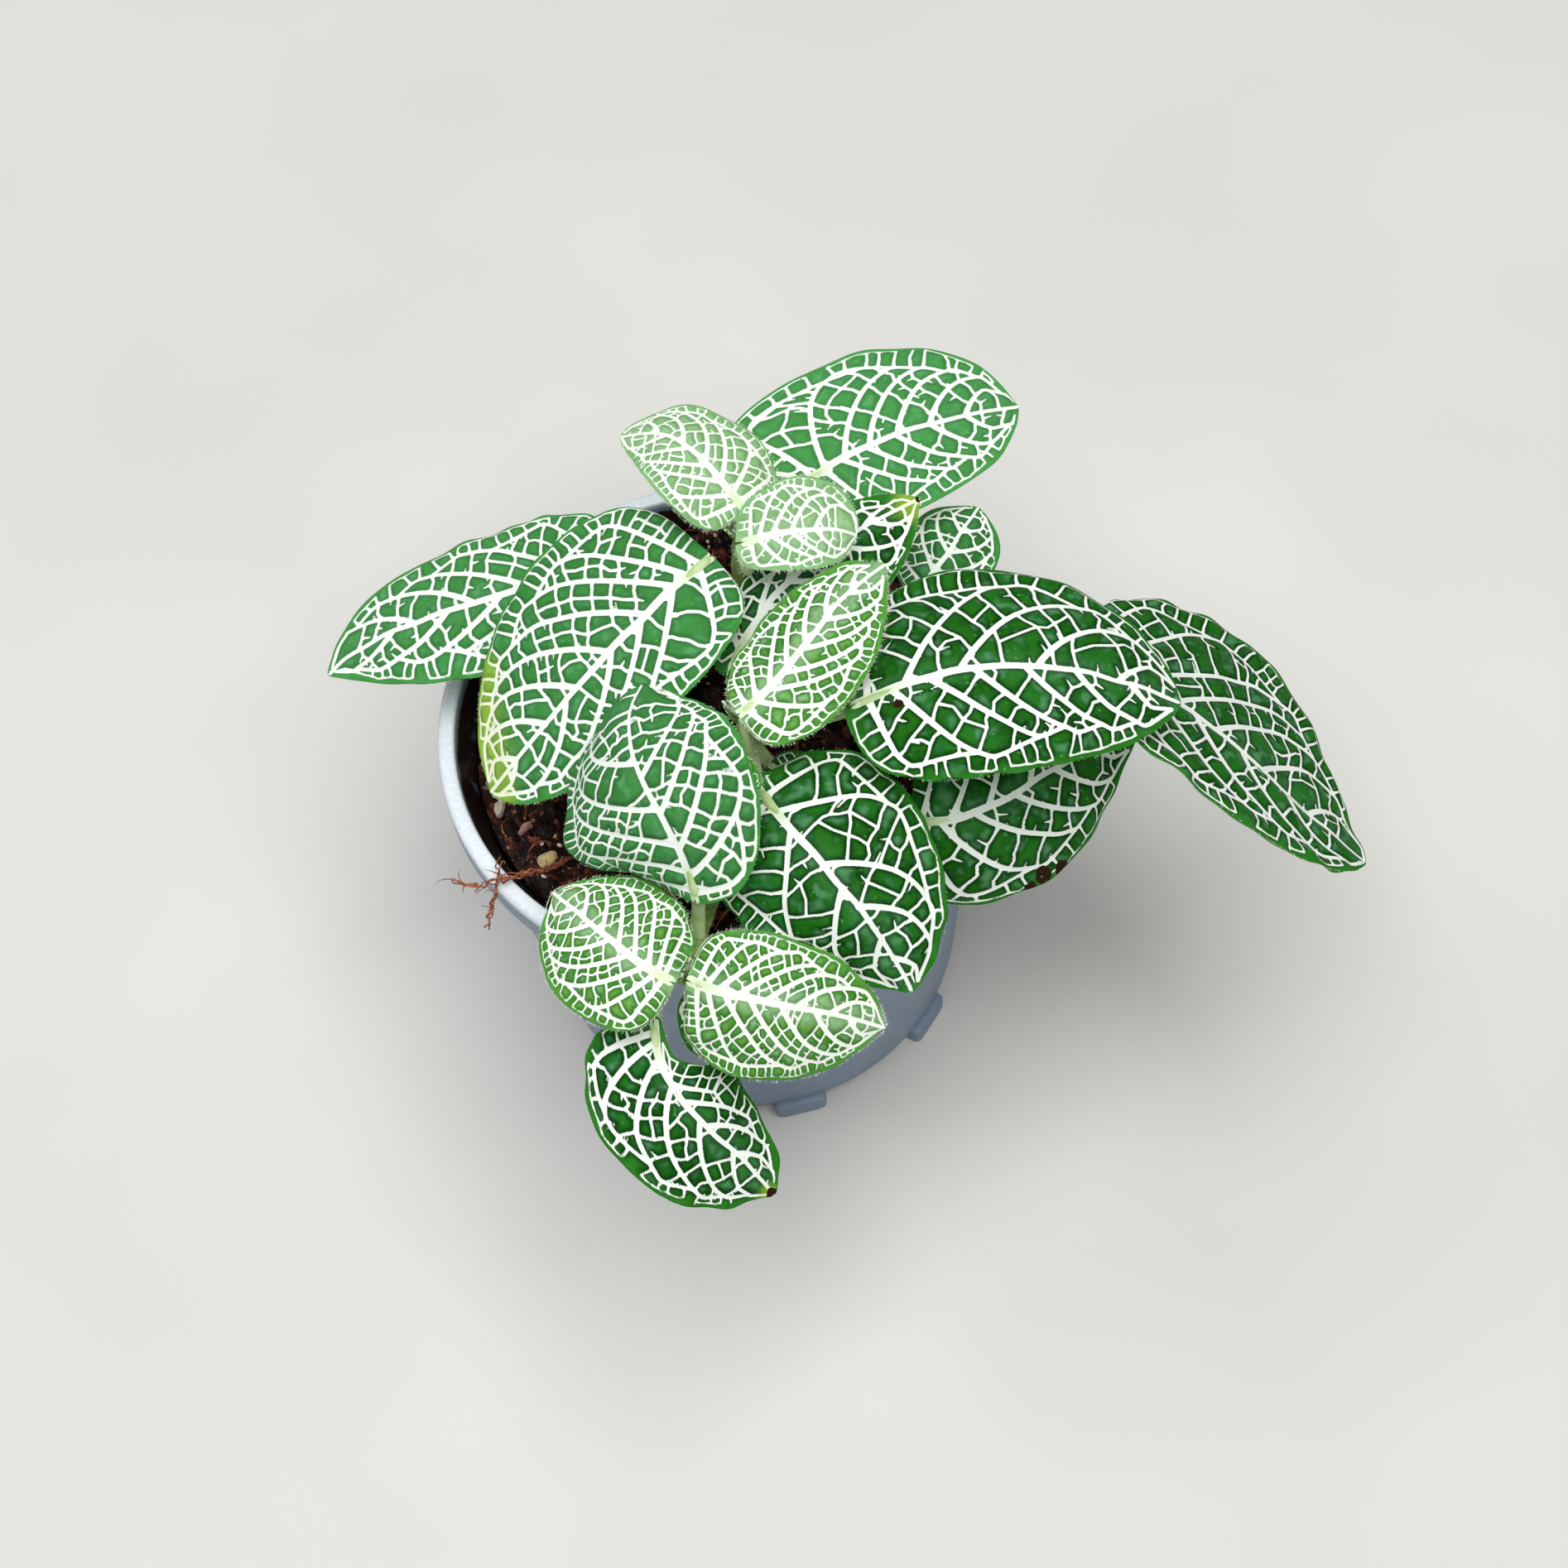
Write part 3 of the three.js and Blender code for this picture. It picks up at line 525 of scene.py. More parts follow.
def cross_veins(back, front, cell, rng, put):
    """Cross veins from one side vein to what lies ahead of it, about a cell apart. Each ends
    between the nearest point and the one at an equal share of the length, and never behind the one
    before. Where the gap is wide, joints on them are linked, elsewhere short veinlets end free."""
    mean = (line_length(back) + line_length(front)) / 2
    shares = np.linspace(0, 1, 80)
    apart = np.linalg.norm(walk(back, shares)[:, None] - walk(front, shares)[None], axis=2)
    facing = 0.65 * shares[np.maximum.accumulate(apart.argmin(1))] + 0.35 * shares
    place, before = cell * rng.uniform(0.8, 1.1), []
    while place < mean - 0.3 * cell:
        here = np.clip(place + rng.normal(0, 0.1, 2) * cell, 0, mean) / mean
        a, b = walk(back, here[:1])[0], walk(front, np.interp(here[1:], shares, facing))[0]
        way = b - a
        gap = np.linalg.norm(way)
        along = np.array([-way[1], way[0]]) / max(gap, 1e-6)
        along = along * np.sign(along @ (walk(back, [min(here[0] + 0.02, 1)])[0] - a) + 1e-9)
        joints = []
        if gap > 0.5 * cell:
            storeys = 1 + int(gap > 1.35 * cell) + int(gap > 2.4 * cell)
            rises = np.arange(1, storeys) / storeys if storeys > 1 else np.array([0.5])
            rises = rises + rng.uniform(-0.12, 0.12, len(rises))
            bends = rng.uniform(-0.2, 0.2, len(rises)) * cell
            joints = [a + way * rise + along * bend for rise, bend in zip(rises, bends)]
            knots = np.array([a] + joints + [b])
            stray = rng.normal(0, 0.03, (len(knots) - 1, 1))
            middles = (knots[1:] + knots[:-1]) / 2 + along * stray * gap
            path = np.stack([knots[:-1], middles], 1).reshape(-1, 2)
            path = np.concatenate([path, knots[-1:]])
            wide = np.full(len(path), 0.95)
            wide[[0, -1]] = 1.2
            put(path, wide)
            for k, joint in enumerate(joints):
                if storeys > 1 and len(before) == len(joints) and rng.random() < 0.8:
                    middle = (before[k] + joint) / 2 + way / gap * rng.normal(0, 0.1) * cell
                    put([before[k], middle, joint], [1, 0.85, 1])
                elif rng.random() < 0.55:
                    tip = joint + along * np.sign(bends[k]) * cell * rng.uniform(0.3, 0.45)
                    tip = tip + way / gap * cell * rng.uniform(-0.18, 0.18)
                    put([joint, (joint + tip) / 2, tip], [0.85, 0.65, 0.35])
            if storeys == 1:
                joints = []
            for line, sign in ((back, 1), (front, -1)):
                if rng.random() < 0.25:
                    root = walk(line, [min((place + rng.uniform(0.4, 0.55) * cell) / mean, 1)])[0]
                    reach = sign * rng.uniform(0.18, 0.32)
                    put([root, root + way * reach], [0.85, 0.4])
        before = joints
        place += cell * rng.uniform(0.8, 1.3)


def margin_veins(outer, chain, side, cell, rng, put):
    """The cells outside the loops: short veins out to near the margin, joined there by arcs, and
    halfway by links where they are long."""
    length = line_length(outer)
    place, before, joint = 0.5 * cell, None, None
    while place < length - 0.25 * cell:
        a = walk(outer, [place / length])[0]
        gaps = np.linalg.norm(chain - a, axis=1)
        gap = gaps.min()
        if 0.35 < gap < 2.2 * cell:
            b = chain[gaps.argmin()]
            middle = (a + b) / 2 + rng.normal(0, 0.06, 2) * gap
            put([a, middle, b], [0.7, 0.85, 1.15])
            if gap > 1.15 * cell and joint is not None:
                between = (joint + middle) / 2 + rng.normal(0, 0.1, 2)
                put([joint, between, middle], [0.9, 0.75, 0.9])
            joint = middle if gap > 1.15 * cell else None
            if before is not None and rng.random() < 0.8:
                first, bulge = walk(outer, [before / length, (place + before) / 2 / length])
                put([first, bulge + [0, rng.uniform(0.02, 0.16) * side], a], [0.7, 0.5, 0.7])
            elif rng.random() < 0.5:
                put([a, a + [0.2, 0.25 * side]], [0.7, 0.3])
            before = place
        else:
            before, joint = None, None
        place += cell * rng.uniform(0.5, 1.05)


def vein_net(leaf, seed):
    """Lines with widths in mm for the whole net in the flat blade: midrib, side veins in loops,
    cross veins between them, margin cells, and veinlets. The first line is the midrib and the next
    ones, as many as there are starts, are the side veins."""
    rng = np.random.default_rng(seed)
    young = leaf.get("young", 0)
    length = length_of(leaf)
    scale = min(1.02, 0.5 + length / 60)
    cell = leaf["cell"]
    stations = np.linspace(-0.02, 0.99, 40)
    spine = np.stack([stations * length, 0.07 * ripple(stations[:, None] * length, 7, seed)], -1)
    gain = MIDRIB_GAIN + YOUNG_MIDRIB_GAIN * young
    lines = [(spine, (MIDRIB_TIP + gain * (1 - stations) ** 1.3) * scale)]
    fine = (FINE_VEIN + PALE_GAIN * leaf.get("pale", 0)) * scale * (1 - 0.2 * young)
    sides = []

    def put(points, widths):
        """Adds a fine vein, its widths as shares of the common one."""
        lines.append((np.array(points), np.array(widths) * fine))

    for side in (-1, 1):
        s = np.linspace(0.06, 0.975, 120)
        half = flat_blade(leaf, s, np.full_like(s, side))[2]
        inset = (0.48 - 0.1 * young) * (1 + 0.2 * ripple(s[:, None] * length, 3, seed + side))
        u, out, _ = flat_blade(leaf, s, side * (1 - inset / np.maximum(half, 2 * inset)))
        outer = np.concatenate([np.stack([u * length, out], -1), [[length * 0.985, 0]]])
        veins, joins = side_veins(leaf, side, rng, outer)
        for vein in veins:
            widths = SIDE_VEIN_TIP + SIDE_VEIN_GAIN * np.linspace(1, 0, len(vein))
            lines.append((vein, widths * scale))
        sides.append((side, outer, veins, joins))
    for side, outer, veins, joins in sides:
        for k, vein in enumerate(veins):
            last = k + 1 == len(veins)
            ahead = length * 0.99 if last else veins[k + 1][0, 0]
            front = np.stack([np.linspace(vein[0, 0], ahead, 12), np.zeros(12)], -1)
            if not last:
                front = np.concatenate([front, veins[k + 1][1:joins[k] + 1]])
            cross_veins(vein, front, cell, rng, put)
        chain = np.concatenate([walk(vein, np.linspace(0, 1, 150)) for vein in veins])
        margin_veins(outer, chain, side, cell, rng, put)
    return lines


def vein_distance(points, lines, reach=4.0):
    """For each flat point, distance in mm past the edge of the nearest vein, negative inside it.
    Each run of points is only held against the veins within reach of it."""
    a = np.concatenate([line[:-1] for line, _ in lines]).astype(np.float32)
    b = np.concatenate([line[1:] for line, _ in lines]).astype(np.float32)
    wide_a = np.concatenate([wide[:-1] for _, wide in lines]).astype(np.float32) / 2
    wide_b = np.concatenate([wide[1:] for _, wide in lines]).astype(np.float32) / 2
    way = b - a
    square = np.maximum((way ** 2).sum(1), 1e-9)
    points = points.astype(np.float32)
    best = np.full(len(points), reach, np.float32)
    for first in range(0, len(points), 1200):
        part = points[first:first + 1200]
        low, high = part.min(0) - reach, part.max(0) + reach
        near = np.flatnonzero(((np.maximum(a, b) > low) & (np.minimum(a, b) < high)).all(1))
        if len(near):
            rel = part[:, None] - a[near]
            share = np.clip((rel * way[near]).sum(-1) / square[near], 0, 1)
            gap = np.linalg.norm(rel - way[near] * share[..., None], axis=-1)
            gap = (gap - wide_a[near] - (wide_b - wide_a)[near] * share).min(1)
            best[first:first + 1200] = np.minimum(gap, reach)
    return best


# ---- leaves --------------------------------------------------------------------------------

LEAF_VALUES = ("vein", "edge", "spine", "rib", "under", "stalk", "yellow", "brown", "pale")


def stalk_path(leaf):
    """The stalk's line: out of the stem, up to the blade, and on under the midrib."""
    stem = STEMS[leaf["stem"]]
    node = through(stem, [leaf["at"]])[0]
    before, after = through(stem, [leaf["at"] - 0.01, min(leaf["at"] + 0.01, 1)])
    rise = unit(after - before)
    base = np.array(leaf["base"], float)
    out = unit(base - node - ((base - node) @ rise) * rise)
    foot = node + out * 2
    knee = foot + out * np.linalg.norm(foot - base) * 0.35
    knee = knee + (base - knee) * 0.25
    stations = np.array([0, 0.12, 0.28, 0.45, 0.62, 0.78])
    place, _, _, raised = rib_frame(leaf, stations)
    drop = np.array([0.62, 0.72, 0.7, 0.62, 0.55, 0.5])
    return np.concatenate([[node + out * 0.5, foot, knee], place - raised * drop[:, None]])


def marks(leaf, key, flat, outer, inner):
    """How strongly each flat point is marked, from 0 to 1, by round spots that fade between outer
    and inner times their radius."""
    total = np.zeros(len(flat))
    for station, across, radius in leaf.get(key, ()):
        gap = np.linalg.norm(flat - flat_mm(leaf, np.array([station]), across), axis=1)
        total = np.maximum(total, smooth_step(radius * outer, radius * inner, gap))
    return total


def row_places(leaf, step):
    """Places s of the blade's rows, so that they meet the margin an even step apart."""
    s = np.linspace(0, 1, 3001)
    u, out, _ = flat_blade(leaf, s, np.ones_like(s))
    run = run_along(np.stack([u * length_of(leaf), out], -1))
    rows = int(run[-1] / step)
    return np.interp(np.arange(1, rows) * run[-1] / rows, run, s)


def blade_faces(rows, columns, low_columns):
    """Faces of a blade: the grid of its upper face, the coarser one beneath, strips that join them
    along both rims, and fans at the base and the tip, whose points follow the grids' own."""
    wide, narrow = columns + 1, low_columns + 1
    below = rows * wide
    start = below + rows * narrow
    finish = start + 1
    last, last_low = below - wide, start - narrow
    i, j, m = np.arange(rows - 1), np.arange(columns), np.arange(low_columns)
    left = [i * wide, (i + 1) * wide, below + (i + 1) * narrow, below + i * narrow]
    right = [i * wide + columns, below + i * narrow + low_columns,
             below + (i + 1) * narrow + low_columns, (i + 1) * wide + columns]
    quads = [grid_faces(rows, wide), grid_faces(rows, narrow, first=below)[:, ::-1],
             np.stack(left, 1), np.stack(right, 1)]
    fans = [fan(start, j + 1, j), fan(finish, last + j, last + j + 1),
            fan(start, below + m, below + m + 1), fan(finish, last_low + m + 1, last_low + m),
            [[start, 0, below], [start, below + low_columns, columns],
             [finish, last_low, last], [finish, last + columns, last_low + low_columns]]]
    return np.concatenate(quads), np.concatenate(fans)


def put_blade(heap, leaf, seed):
    """The blade: its surface waved, then pushed out along its normal by puffed fields between the
    side veins and puffed cells between the fine ones, in smooth steps of the distance from a vein.
    The lower face lies under it by a thickness that falls with the eighth power of the way across
    to that of the rim."""
    young = leaf.get("young", 0)
    length = length_of(leaf)
    step = POINT_STEP - YOUNG_STEP_LESS * young
    places = row_places(leaf, step)
    rows = len(places)
    columns = int(leaf["width"] / step) // 2 * 2
    s = places[:, None] + np.zeros((1, columns + 1))
    ragged = 1 + 0.011 * ripple(places[:, None] * length, 3.5, seed)
    v = np.linspace(-1, 1, columns + 1)[None] * ragged[:, None]
    u, out, half = flat_blade(leaf, s, v)
    flat = np.stack([u * length, out], -1).reshape(-1, 2)
    lines = vein_net(leaf, seed)
    gap = vein_distance(flat, lines)
    main = vein_distance(flat, lines[:1 + len(leaf["veins"][0]) + len(leaf["veins"][1])])
    edge = ((1 - np.abs(v)) * half).ravel()
    edge = np.minimum(edge, np.minimum(flat[:, 0] + 0.5, length - flat[:, 0]) + 0.3)
    surface = blade_surface(leaf, s, v)
    normal = unit(np.cross(np.gradient(surface, axis=1), np.gradient(surface, axis=0)))
    puff = FIELD_PUFF * smooth_step(-0.3, 1.7, main) + CELL_PUFF * smooth_step(-0.15, 0.5, gap)
    puff = (puff - VEIN_DEPTH) * smooth_step(0, 0.7, edge) * (1 - 0.35 * young)
    wave = (BLADE_WAVE * ripple(surface, 9, seed)
            + RIM_WAVE * np.abs(v) ** 4 * ripple(surface, 5, seed + 1))
    surface = surface + normal * wave[..., None]
    top = surface + normal * puff.reshape(v.shape)[..., None]
    low_columns = max(columns // 5, 8)
    pick = np.round(np.linspace(0, columns, low_columns + 1)).astype(int)
    thick = EDGE_THICKNESS + (BLADE_THICKNESS - EDGE_THICKNESS) * (1 - np.abs(v[:, pick]) ** 8)
    lower = surface[:, pick] - normal[:, pick] * thick[..., None]
    for rim in (0, -1):
        lower[:, rim] = top[:, rim] - normal[:, rim] * EDGE_THICKNESS
    low_pick = (np.arange(rows)[:, None] * (columns + 1) + pick).ravel()

    def spread(values, at_poles=0.0):
        """Values of the upper face carried over to the lower one and to the two poles."""
        return np.concatenate([values, values[low_pick], [at_poles, at_poles]])

    aside = np.abs(flat[:, 1])
    heap.put(
        np.concatenate([top.reshape(-1, 3), lower.reshape(-1, 3), rib_frame(leaf, [0, 1])[0]]),
        *blade_faces(rows, columns, low_columns),
        vein=spread(gap, -0.2), edge=spread(edge), pale=leaf.get("pale", 0),
        rib=spread(smooth_step(0.9, 0.2, aside) * smooth_step(0.22, 0.0, flat[:, 0] / length)),
        spine=spread(smooth_step(2.4, 0.4, aside)),
        under=np.concatenate([np.zeros(len(flat)), np.ones(len(low_pick)), [0.5, 0.5]]),
        yellow=spread(marks(leaf, "yellow", flat, 1.5, 0.2)),
        brown=spread(marks(leaf, "brown", flat, 1.2, 0.6)))


def make_leaf(name, leaf, seed, slot):
    """A leaf: its blade, and a round stalk whose radius falls in two smooth steps on its way."""
    heap = Heap(*LEAF_VALUES)
    put_blade(heap, leaf, seed)
    share = np.linspace(0, 1, 46)
    radii = STALK_RADIUS * (1.12 - 0.25 * smooth_step(0, 0.35, share))
    radii = radii * (1 - 0.55 * smooth_step(0.4, 1, share)) * (1 - 0.3 * leaf.get("young", 0))
    heap.put(*tube(through(stalk_path(leaf), share), radii, 12), vein=1, stalk=1, edge=5)
    return heap.piece(name + "_blade", slot, [name])


# ---- materials -----------------------------------------------------------------------------


def linear(colour):
    """An sRGB hex value as linear red, green, blue and full alpha."""
    channels = [int(colour[k:k + 2], 16) / 255 for k in (1, 3, 5)]
    return (*(c / 12.92 if c <= 0.04045 else ((c + 0.055) / 1.055) ** 2.4 for c in channels), 1.0)


def add(tree, kind, inputs=None, out=0, stops=(), **settings):
    """Adds a node with its settings, sets or links its inputs, and gives back one output. A hex
    value is a colour, and stops are the places and colours of a ramp."""
    item = tree.nodes.new("ShaderNode" + kind)
    for key, value in settings.items():
        setattr(item, key, value)
    for key, value in (inputs or {}).items():
        if isinstance(value, bpy.types.NodeSocket):
            tree.links.new(value, item.inputs[key])
        else:
            item.inputs[key].default_value = linear(value) if isinstance(value, str) else value
    for k, (place, colour) in enumerate(stops):
        stop = item.color_ramp.elements[k] if k < 2 else item.color_ramp.elements.new(place)
        stop.position = place
        stop.color = linear(colour)
    return item.outputs[out]


def paint(tree, colour, layers):
    """Lays colours over the first one. Each layer is (value, low, high, strength, colour) and
    grows, as the value goes from low to high, in a smooth step from nothing to its strength."""
    for value, low, high, strength, over in layers:
        share = add(tree, "MapRange", {0: value, 1: low, 2: high, 4: strength},
                    interpolation_type="SMOOTHSTEP")
        colour = add(tree, "Mix", {0: share, 6: colour, 7: over}, 2, data_type="RGBA")
    return colour


def blank(name):
    """A new material with its tree, its shader and object coordinates in mm."""
    material = bpy.data.materials.new(name)
    material.use_nodes = True
    tree = material.node_tree
    place = add(tree, "TexCoord", out="Object")
    place = add(tree, "VectorMath", {0: place, 3: 1 / MM}, operation="SCALE")
    return material, tree, tree.nodes["Principled BSDF"], place


def finish(tree, shader, colour, roughness, relief, strength, depth):
    """Gives the shader its colour, its roughness, and a bump of that depth in mm."""
    bump = add(tree, "Bump", {"Strength": strength, "Distance": depth * MM, "Height": relief})
    for key, value in (("Base Color", colour), ("Roughness", roughness), ("Normal", bump)):
        if isinstance(value, bpy.types.NodeSocket):
            tree.links.new(value, shader.inputs[key])
        else:
            shader.inputs[key].default_value = value


def leaf_tissue(name, tint, milky, wax):
    """Living leaf: satin waxy green cells between chalk-white veins, which read as a crisp net.
    Each cell is painted darker beside its veins, as painted shade in the sunken veins; in places
    over 1.6 to 4 mm it is yellower, and in others it has painted sheen, a lighter greyer green;
    and the skin's 0.15 mm cells are drawn at 0.25 mm so that they show."""
    material, tree, shader, place = blank(name)
    gap, edge, spine, rib, under, stalk, yellow, brown, pale = (
        add(tree, "Attribute", out="Fac", attribute_name=key) for key in LEAF_VALUES)
    cloud, patch, speck, grain = (
        add(tree, "TexNoise", {"Vector": place, "Scale": 1 / size, "Detail": detail})
        for size, detail in ((4, 2), (1.6, 1), (0.7, 1), (0.25, 2)))
    cells = paint(tree, tint["dark"], [
        (cloud, 0.35, 0.65, 1, tint["light"]), (patch, 0.6, 0.34, 0.6, tint["warm"]),
        # greyer green patches are painted sheen; near is painted shade that darkens each cell
        # beside its veins
        (patch, 0.47, 0.75, 0.7, tint["painted_sheen"]), (gap, 0.5, 0, 0.85, tint["near"]),
        # pale: whole leaves painted lighter, as painted light
        (edge, 1.1, 0.2, 0.75, tint["rim"]), (pale, 0, 1, 1, tint["pale"]),
        # the band along the midrib takes the painted sheen colour, at the milky strength
        (spine, 0, 1, milky, tint["painted_sheen"]), (speck, 0.7, 0.76, 0.4, tint["pale"]),
        (grain, 0.3, 0.7, 0.2, tint["light"]), (yellow, 0, 1, 0.85, "#8db342")])
    net = paint(tree, tint["vein"], [
        (rib, 0, 1, 1, tint["midrib"]), (yellow, 0, 1, 0.5, "#dfe6ae")])
    ragged = add(tree, "Math", {0: grain, 1: 0.09, 2: gap}, operation="MULTIPLY_ADD")
    upper = paint(tree, cells, [(ragged, 0.085, 0.01, 1, net)])
    lower = paint(tree, tint["below"], [(gap, 0.15, -0.1, 0.7, "#c3d3b0")])
    stem = paint(tree, "#9dbb74", [(cloud, 0.3, 0.7, 1, "#cbdcae")])
    blot = add(tree, "Math", {0: speck, 1: brown}, operation="MULTIPLY")
    colour = paint(tree, upper, [(under, 0, 1, 1, lower), (stalk, 0, 1, 1, stem),
                                 (blot, 0.2, 0.34, 1, "#2e1c0d")])
    roughness = add(tree, "MapRange", {0: grain, 1: 0.2, 2: 0.8, 3: wax, 4: wax + 0.16})
    quilt = add(tree, "MapRange", {0: gap, 1: -0.1, 2: 0.6}, interpolation_type="SMOOTHSTEP")
    relief = add(tree, "Math", {0: grain, 1: 0.15, 2: quilt}, operation="MULTIPLY_ADD")
    finish(tree, shader, colour, roughness, relief, 0.8, 0.2)
    shader.inputs["IOR"].default_value = 1.4
    shader.inputs["Specular IOR Level"].default_value = 0.05
    return material


def stem_skin():
    """Young green stem: downy skin, pale green streaked along its length, browner by the mix."""
    material, tree, shader, place = blank("downy_green_stem")
    height = add(tree, "SeparateXYZ", {0: place}, 2)
    long = add(tree, "Mapping", {0: place, 3: (1, 1, 0.2)})
    streak = add(tree, "TexNoise", {"Vector": long, "Scale": 1 / 0.5, "Detail": 3})
    colour = paint(tree, "#6f8f42", [
        (streak, 0.3, 0.7, 1, "#9db36c"), (height, 56, 47, 1, "#6d5b34")])
    finish(tree, shader, colour, 0.6, streak, 0.5, 0.1)
    return material


def hair_skin():
    """Plant down: fine colourless hairs that catch the light as a white fringe."""
    material, tree, shader, place = blank("plant_down")
    shade = add(tree, "TexNoise", {"Vector": place, "Scale": 1 / 0.6, "Detail": 3})
    colour = paint(tree, "#d3e3bd", [(shade, 0.3, 0.7, 1, "#f6f8ee")])
    finish(tree, shader, colour, 0.5, shade, 0.1, 0.02)
    return material


def moulded_plastic():
    """Injection-moulded polypropylene, pale in itself: a satin grey-blue wall painted darker as
    painted shade, with faint flow marks some 12 mm wide; the lip's top painted pale, with paler
    flecks, as painted light; scuffs; and dried mix on the wall's inside, darkened as painted shade."""
    material, tree, shader, place = blank("moulded_polypropylene")
    inside = add(tree, "Attribute", out="Fac", attribute_name="inside")
    height = add(tree, "SeparateXYZ", {0: place}, 2)
    flat = add(tree, "Mapping", {0: place, 3: (1, 1, 3)})
    flow, dirt_and_shade_noise, fleck_noise = (
        add(tree, "TexNoise", {"Vector": place, "Scale": 1 / size, "Detail": 4, "Roughness": 0.65})
        for size in (12, 2.2, 0.5))
    scuff = add(tree, "TexNoise", {"Vector": flat, "Scale": 1 / 1.2, "Detail": 4, "Roughness": 0.7})
    # the lip's top, painted light
    top = add(tree, "MapRange", {0: height, 1: 50.9, 2: 51.7})
    lit_lip_flecks = add(tree, "Math", {0: fleck_noise, 1: top}, operation="MULTIPLY")
    # dried mix on the inner wall, darkened to near black as painted shade
    grime_and_shade = add(tree, "Math", {0: dirt_and_shade_noise, 1: inside}, operation="MULTIPLY")
    # the grey-blue wall is painted darker than the pale plastic, as painted shade; the top layer
    # and its flecks are painted light on the lip
    colour = paint(tree, "#75889e", [
        (flow, 0.3, 0.7, 1, "#8193a8"), (scuff, 0.62, 0.72, 0.35, "#dfe5ea"),
        (top, 0, 1, 1, "#dbe4ec"), (lit_lip_flecks, 0.46, 0.64, 0.7, "#eef2f5"),
        (grime_and_shade, 0.25, 0.45, 1, "#241710")])
    roughness = add(tree, "MapRange", {0: scuff, 1: 0.3, 2: 0.7, 3: 0.34, 4: 0.5})
    finish(tree, shader, colour, roughness, scuff, 0.25, 0.1)
    shader.inputs["IOR"].default_value = 1.49
    return material


def damp_mix():
    """Damp peat and coir: dark red-brown crumbs 1 to 3 mm wide, each its own shade, with a wet
    gloss in the hollows and red-brown coir fibres about 0.3 mm wide."""
    material, tree, shader, place = blank("damp_peat_and_coir")
    tone = add(tree, "Attribute", out="Fac", attribute_name="crumb")
    crumb = add(tree, "ValToRGB", {0: tone}, stops=[
        (0, "#0a0403"), (1, "#b0583a"), (0.5, "#31100a"), (0.8, "#662313")])
    grit = add(tree, "TexNoise",
               {"Vector": place, "Scale": 1 / 0.35, "Detail": 4, "Roughness": 0.65})
    long = add(tree, "Mapping", {0: place, 3: (1, 0.15, 0.6), 2: (0, 0, 0.7)})
    fibre = add(tree, "TexNoise", {"Vector": long, "Scale": 1 / 0.3, "Detail": 3})
    fleck = add(tree, "TexNoise", {"Vector": place, "Scale": 1 / 0.8, "Detail": 2})
    colour = paint(tree, crumb, [
        (grit, 0.3, 0.75, 0.8, "#080302"), (fibre, 0.6, 0.7, 0.6, "#8a4122"),
        (fleck, 0.62, 0.7, 0.7, "#c4836c")])
    roughness = add(tree, "MapRange", {0: grit, 1: 0.35, 2: 0.6, 3: 0.3, 4: 0.9})
    finish(tree, shader, colour, roughness, grit, 0.9, 0.3)
    shader.inputs["Specular IOR Level"].default_value = 0.45
    return material


def mineral_grain():
    """Perlite and bark chips: light, matt, pitted pebbles, white, cream, pinkish or brown."""
    material, tree, shader, place = blank("perlite_grain")
    shade = add(tree, "Attribute", out="Fac", attribute_name="shade")
    pits = add(tree, "TexNoise", {"Vector": place, "Scale": 1 / 0.4, "Detail": 4, "Roughness": 0.7})
    base = add(tree, "ValToRGB", {0: shade}, stops=[
        (0, "#efe7db"), (1, "#8a4a30"), (0.4, "#dbc07c"), (0.7, "#d39a92")])
    colour = paint(tree, base, [(pits, 0.5, 0.75, 0.6, "#6f4a3a")])
    finish(tree, shader, colour, 0.85, pits, 0.8, 0.3)
    return material


def dry_fibre():
    """Coir and torn root: dry orange-brown fibre, streaked along its length, matt."""
    material, tree, shader, place = blank("dry_root_fibre")
    streak = add(tree, "TexNoise",
                 {"Vector": place, "Scale": 1 / 0.5, "Detail": 4, "Roughness": 0.7})
    colour = paint(tree, "#56261a", [(streak, 0.35, 0.65, 1, "#b36a43")])
    finish(tree, shader, colour, 0.85, streak, 0.8, 0.15)
    return material


def studio_paper():
    """Matt backdrop paper, pale grey, with a faint fibre cloud some 60 mm wide."""
    material, tree, shader, place = blank("backdrop_paper")
    cloud = add(tree, "TexNoise", {"Vector": place, "Scale": 1 / 60, "Detail": 2})
    colour = paint(tree, "#d9d8d4", [(cloud, 0.3, 0.7, 1, "#dfdeda")])
    finish(tree, shader, colour, 0.9, cloud, 0.05, 0.1)
    return material


# ---- pot -----------------------------------------------------------------------------------


def pot_radius(z):
    """The wall's outer radius: a straight taper from the underside to the rim."""
    spread = RIM_RADIUS - LIP_OVERHANG - FOOT_RADIUS
    return FOOT_RADIUS + spread * (z - FOOT_HEIGHT) / (POT_HEIGHT - FOOT_HEIGHT)


def ball_angles(rows, columns):
    """Angles of a ball's grid: rows up from pole to pole without the poles, columns round it."""
    return np.linspace(-np.pi / 2, np.pi / 2, rows + 2)[1:-1, None], ring_angles(columns)[None]


def rounded_block(centre, size, turn, power=0.28, rows=20, columns=36):
    """A rounded block as a superquadric: each of cos and sin of the two angles raised to a small
    power with its sign kept."""
    def bent(values):
        """The values raised to the power, with their sign."""
        return np.sign(values) * np.abs(values) ** power
    rise, round_about = ball_angles(rows, columns)
    x = bent(np.cos(rise)) * bent(np.cos(round_about))
    y = bent(np.cos(rise)) * bent(np.sin(round_about))
    z = bent(np.sin(rise)) + 0 * round_about
    points = np.stack([x, y, z], -1).reshape(-1, 3)
    points = np.concatenate([points, [[0, 0, -1], [0, 0, 1]]])
    points = points * np.array(size) / 2 + np.array(centre)
    c, s = math.cos(turn), math.sin(turn)
    points = points @ np.array([[c, s, 0], [-s, c, 0], [0, 0, 1]])
    return points, grid_faces(rows, columns, wrap=True), pole_fans(rows, columns)


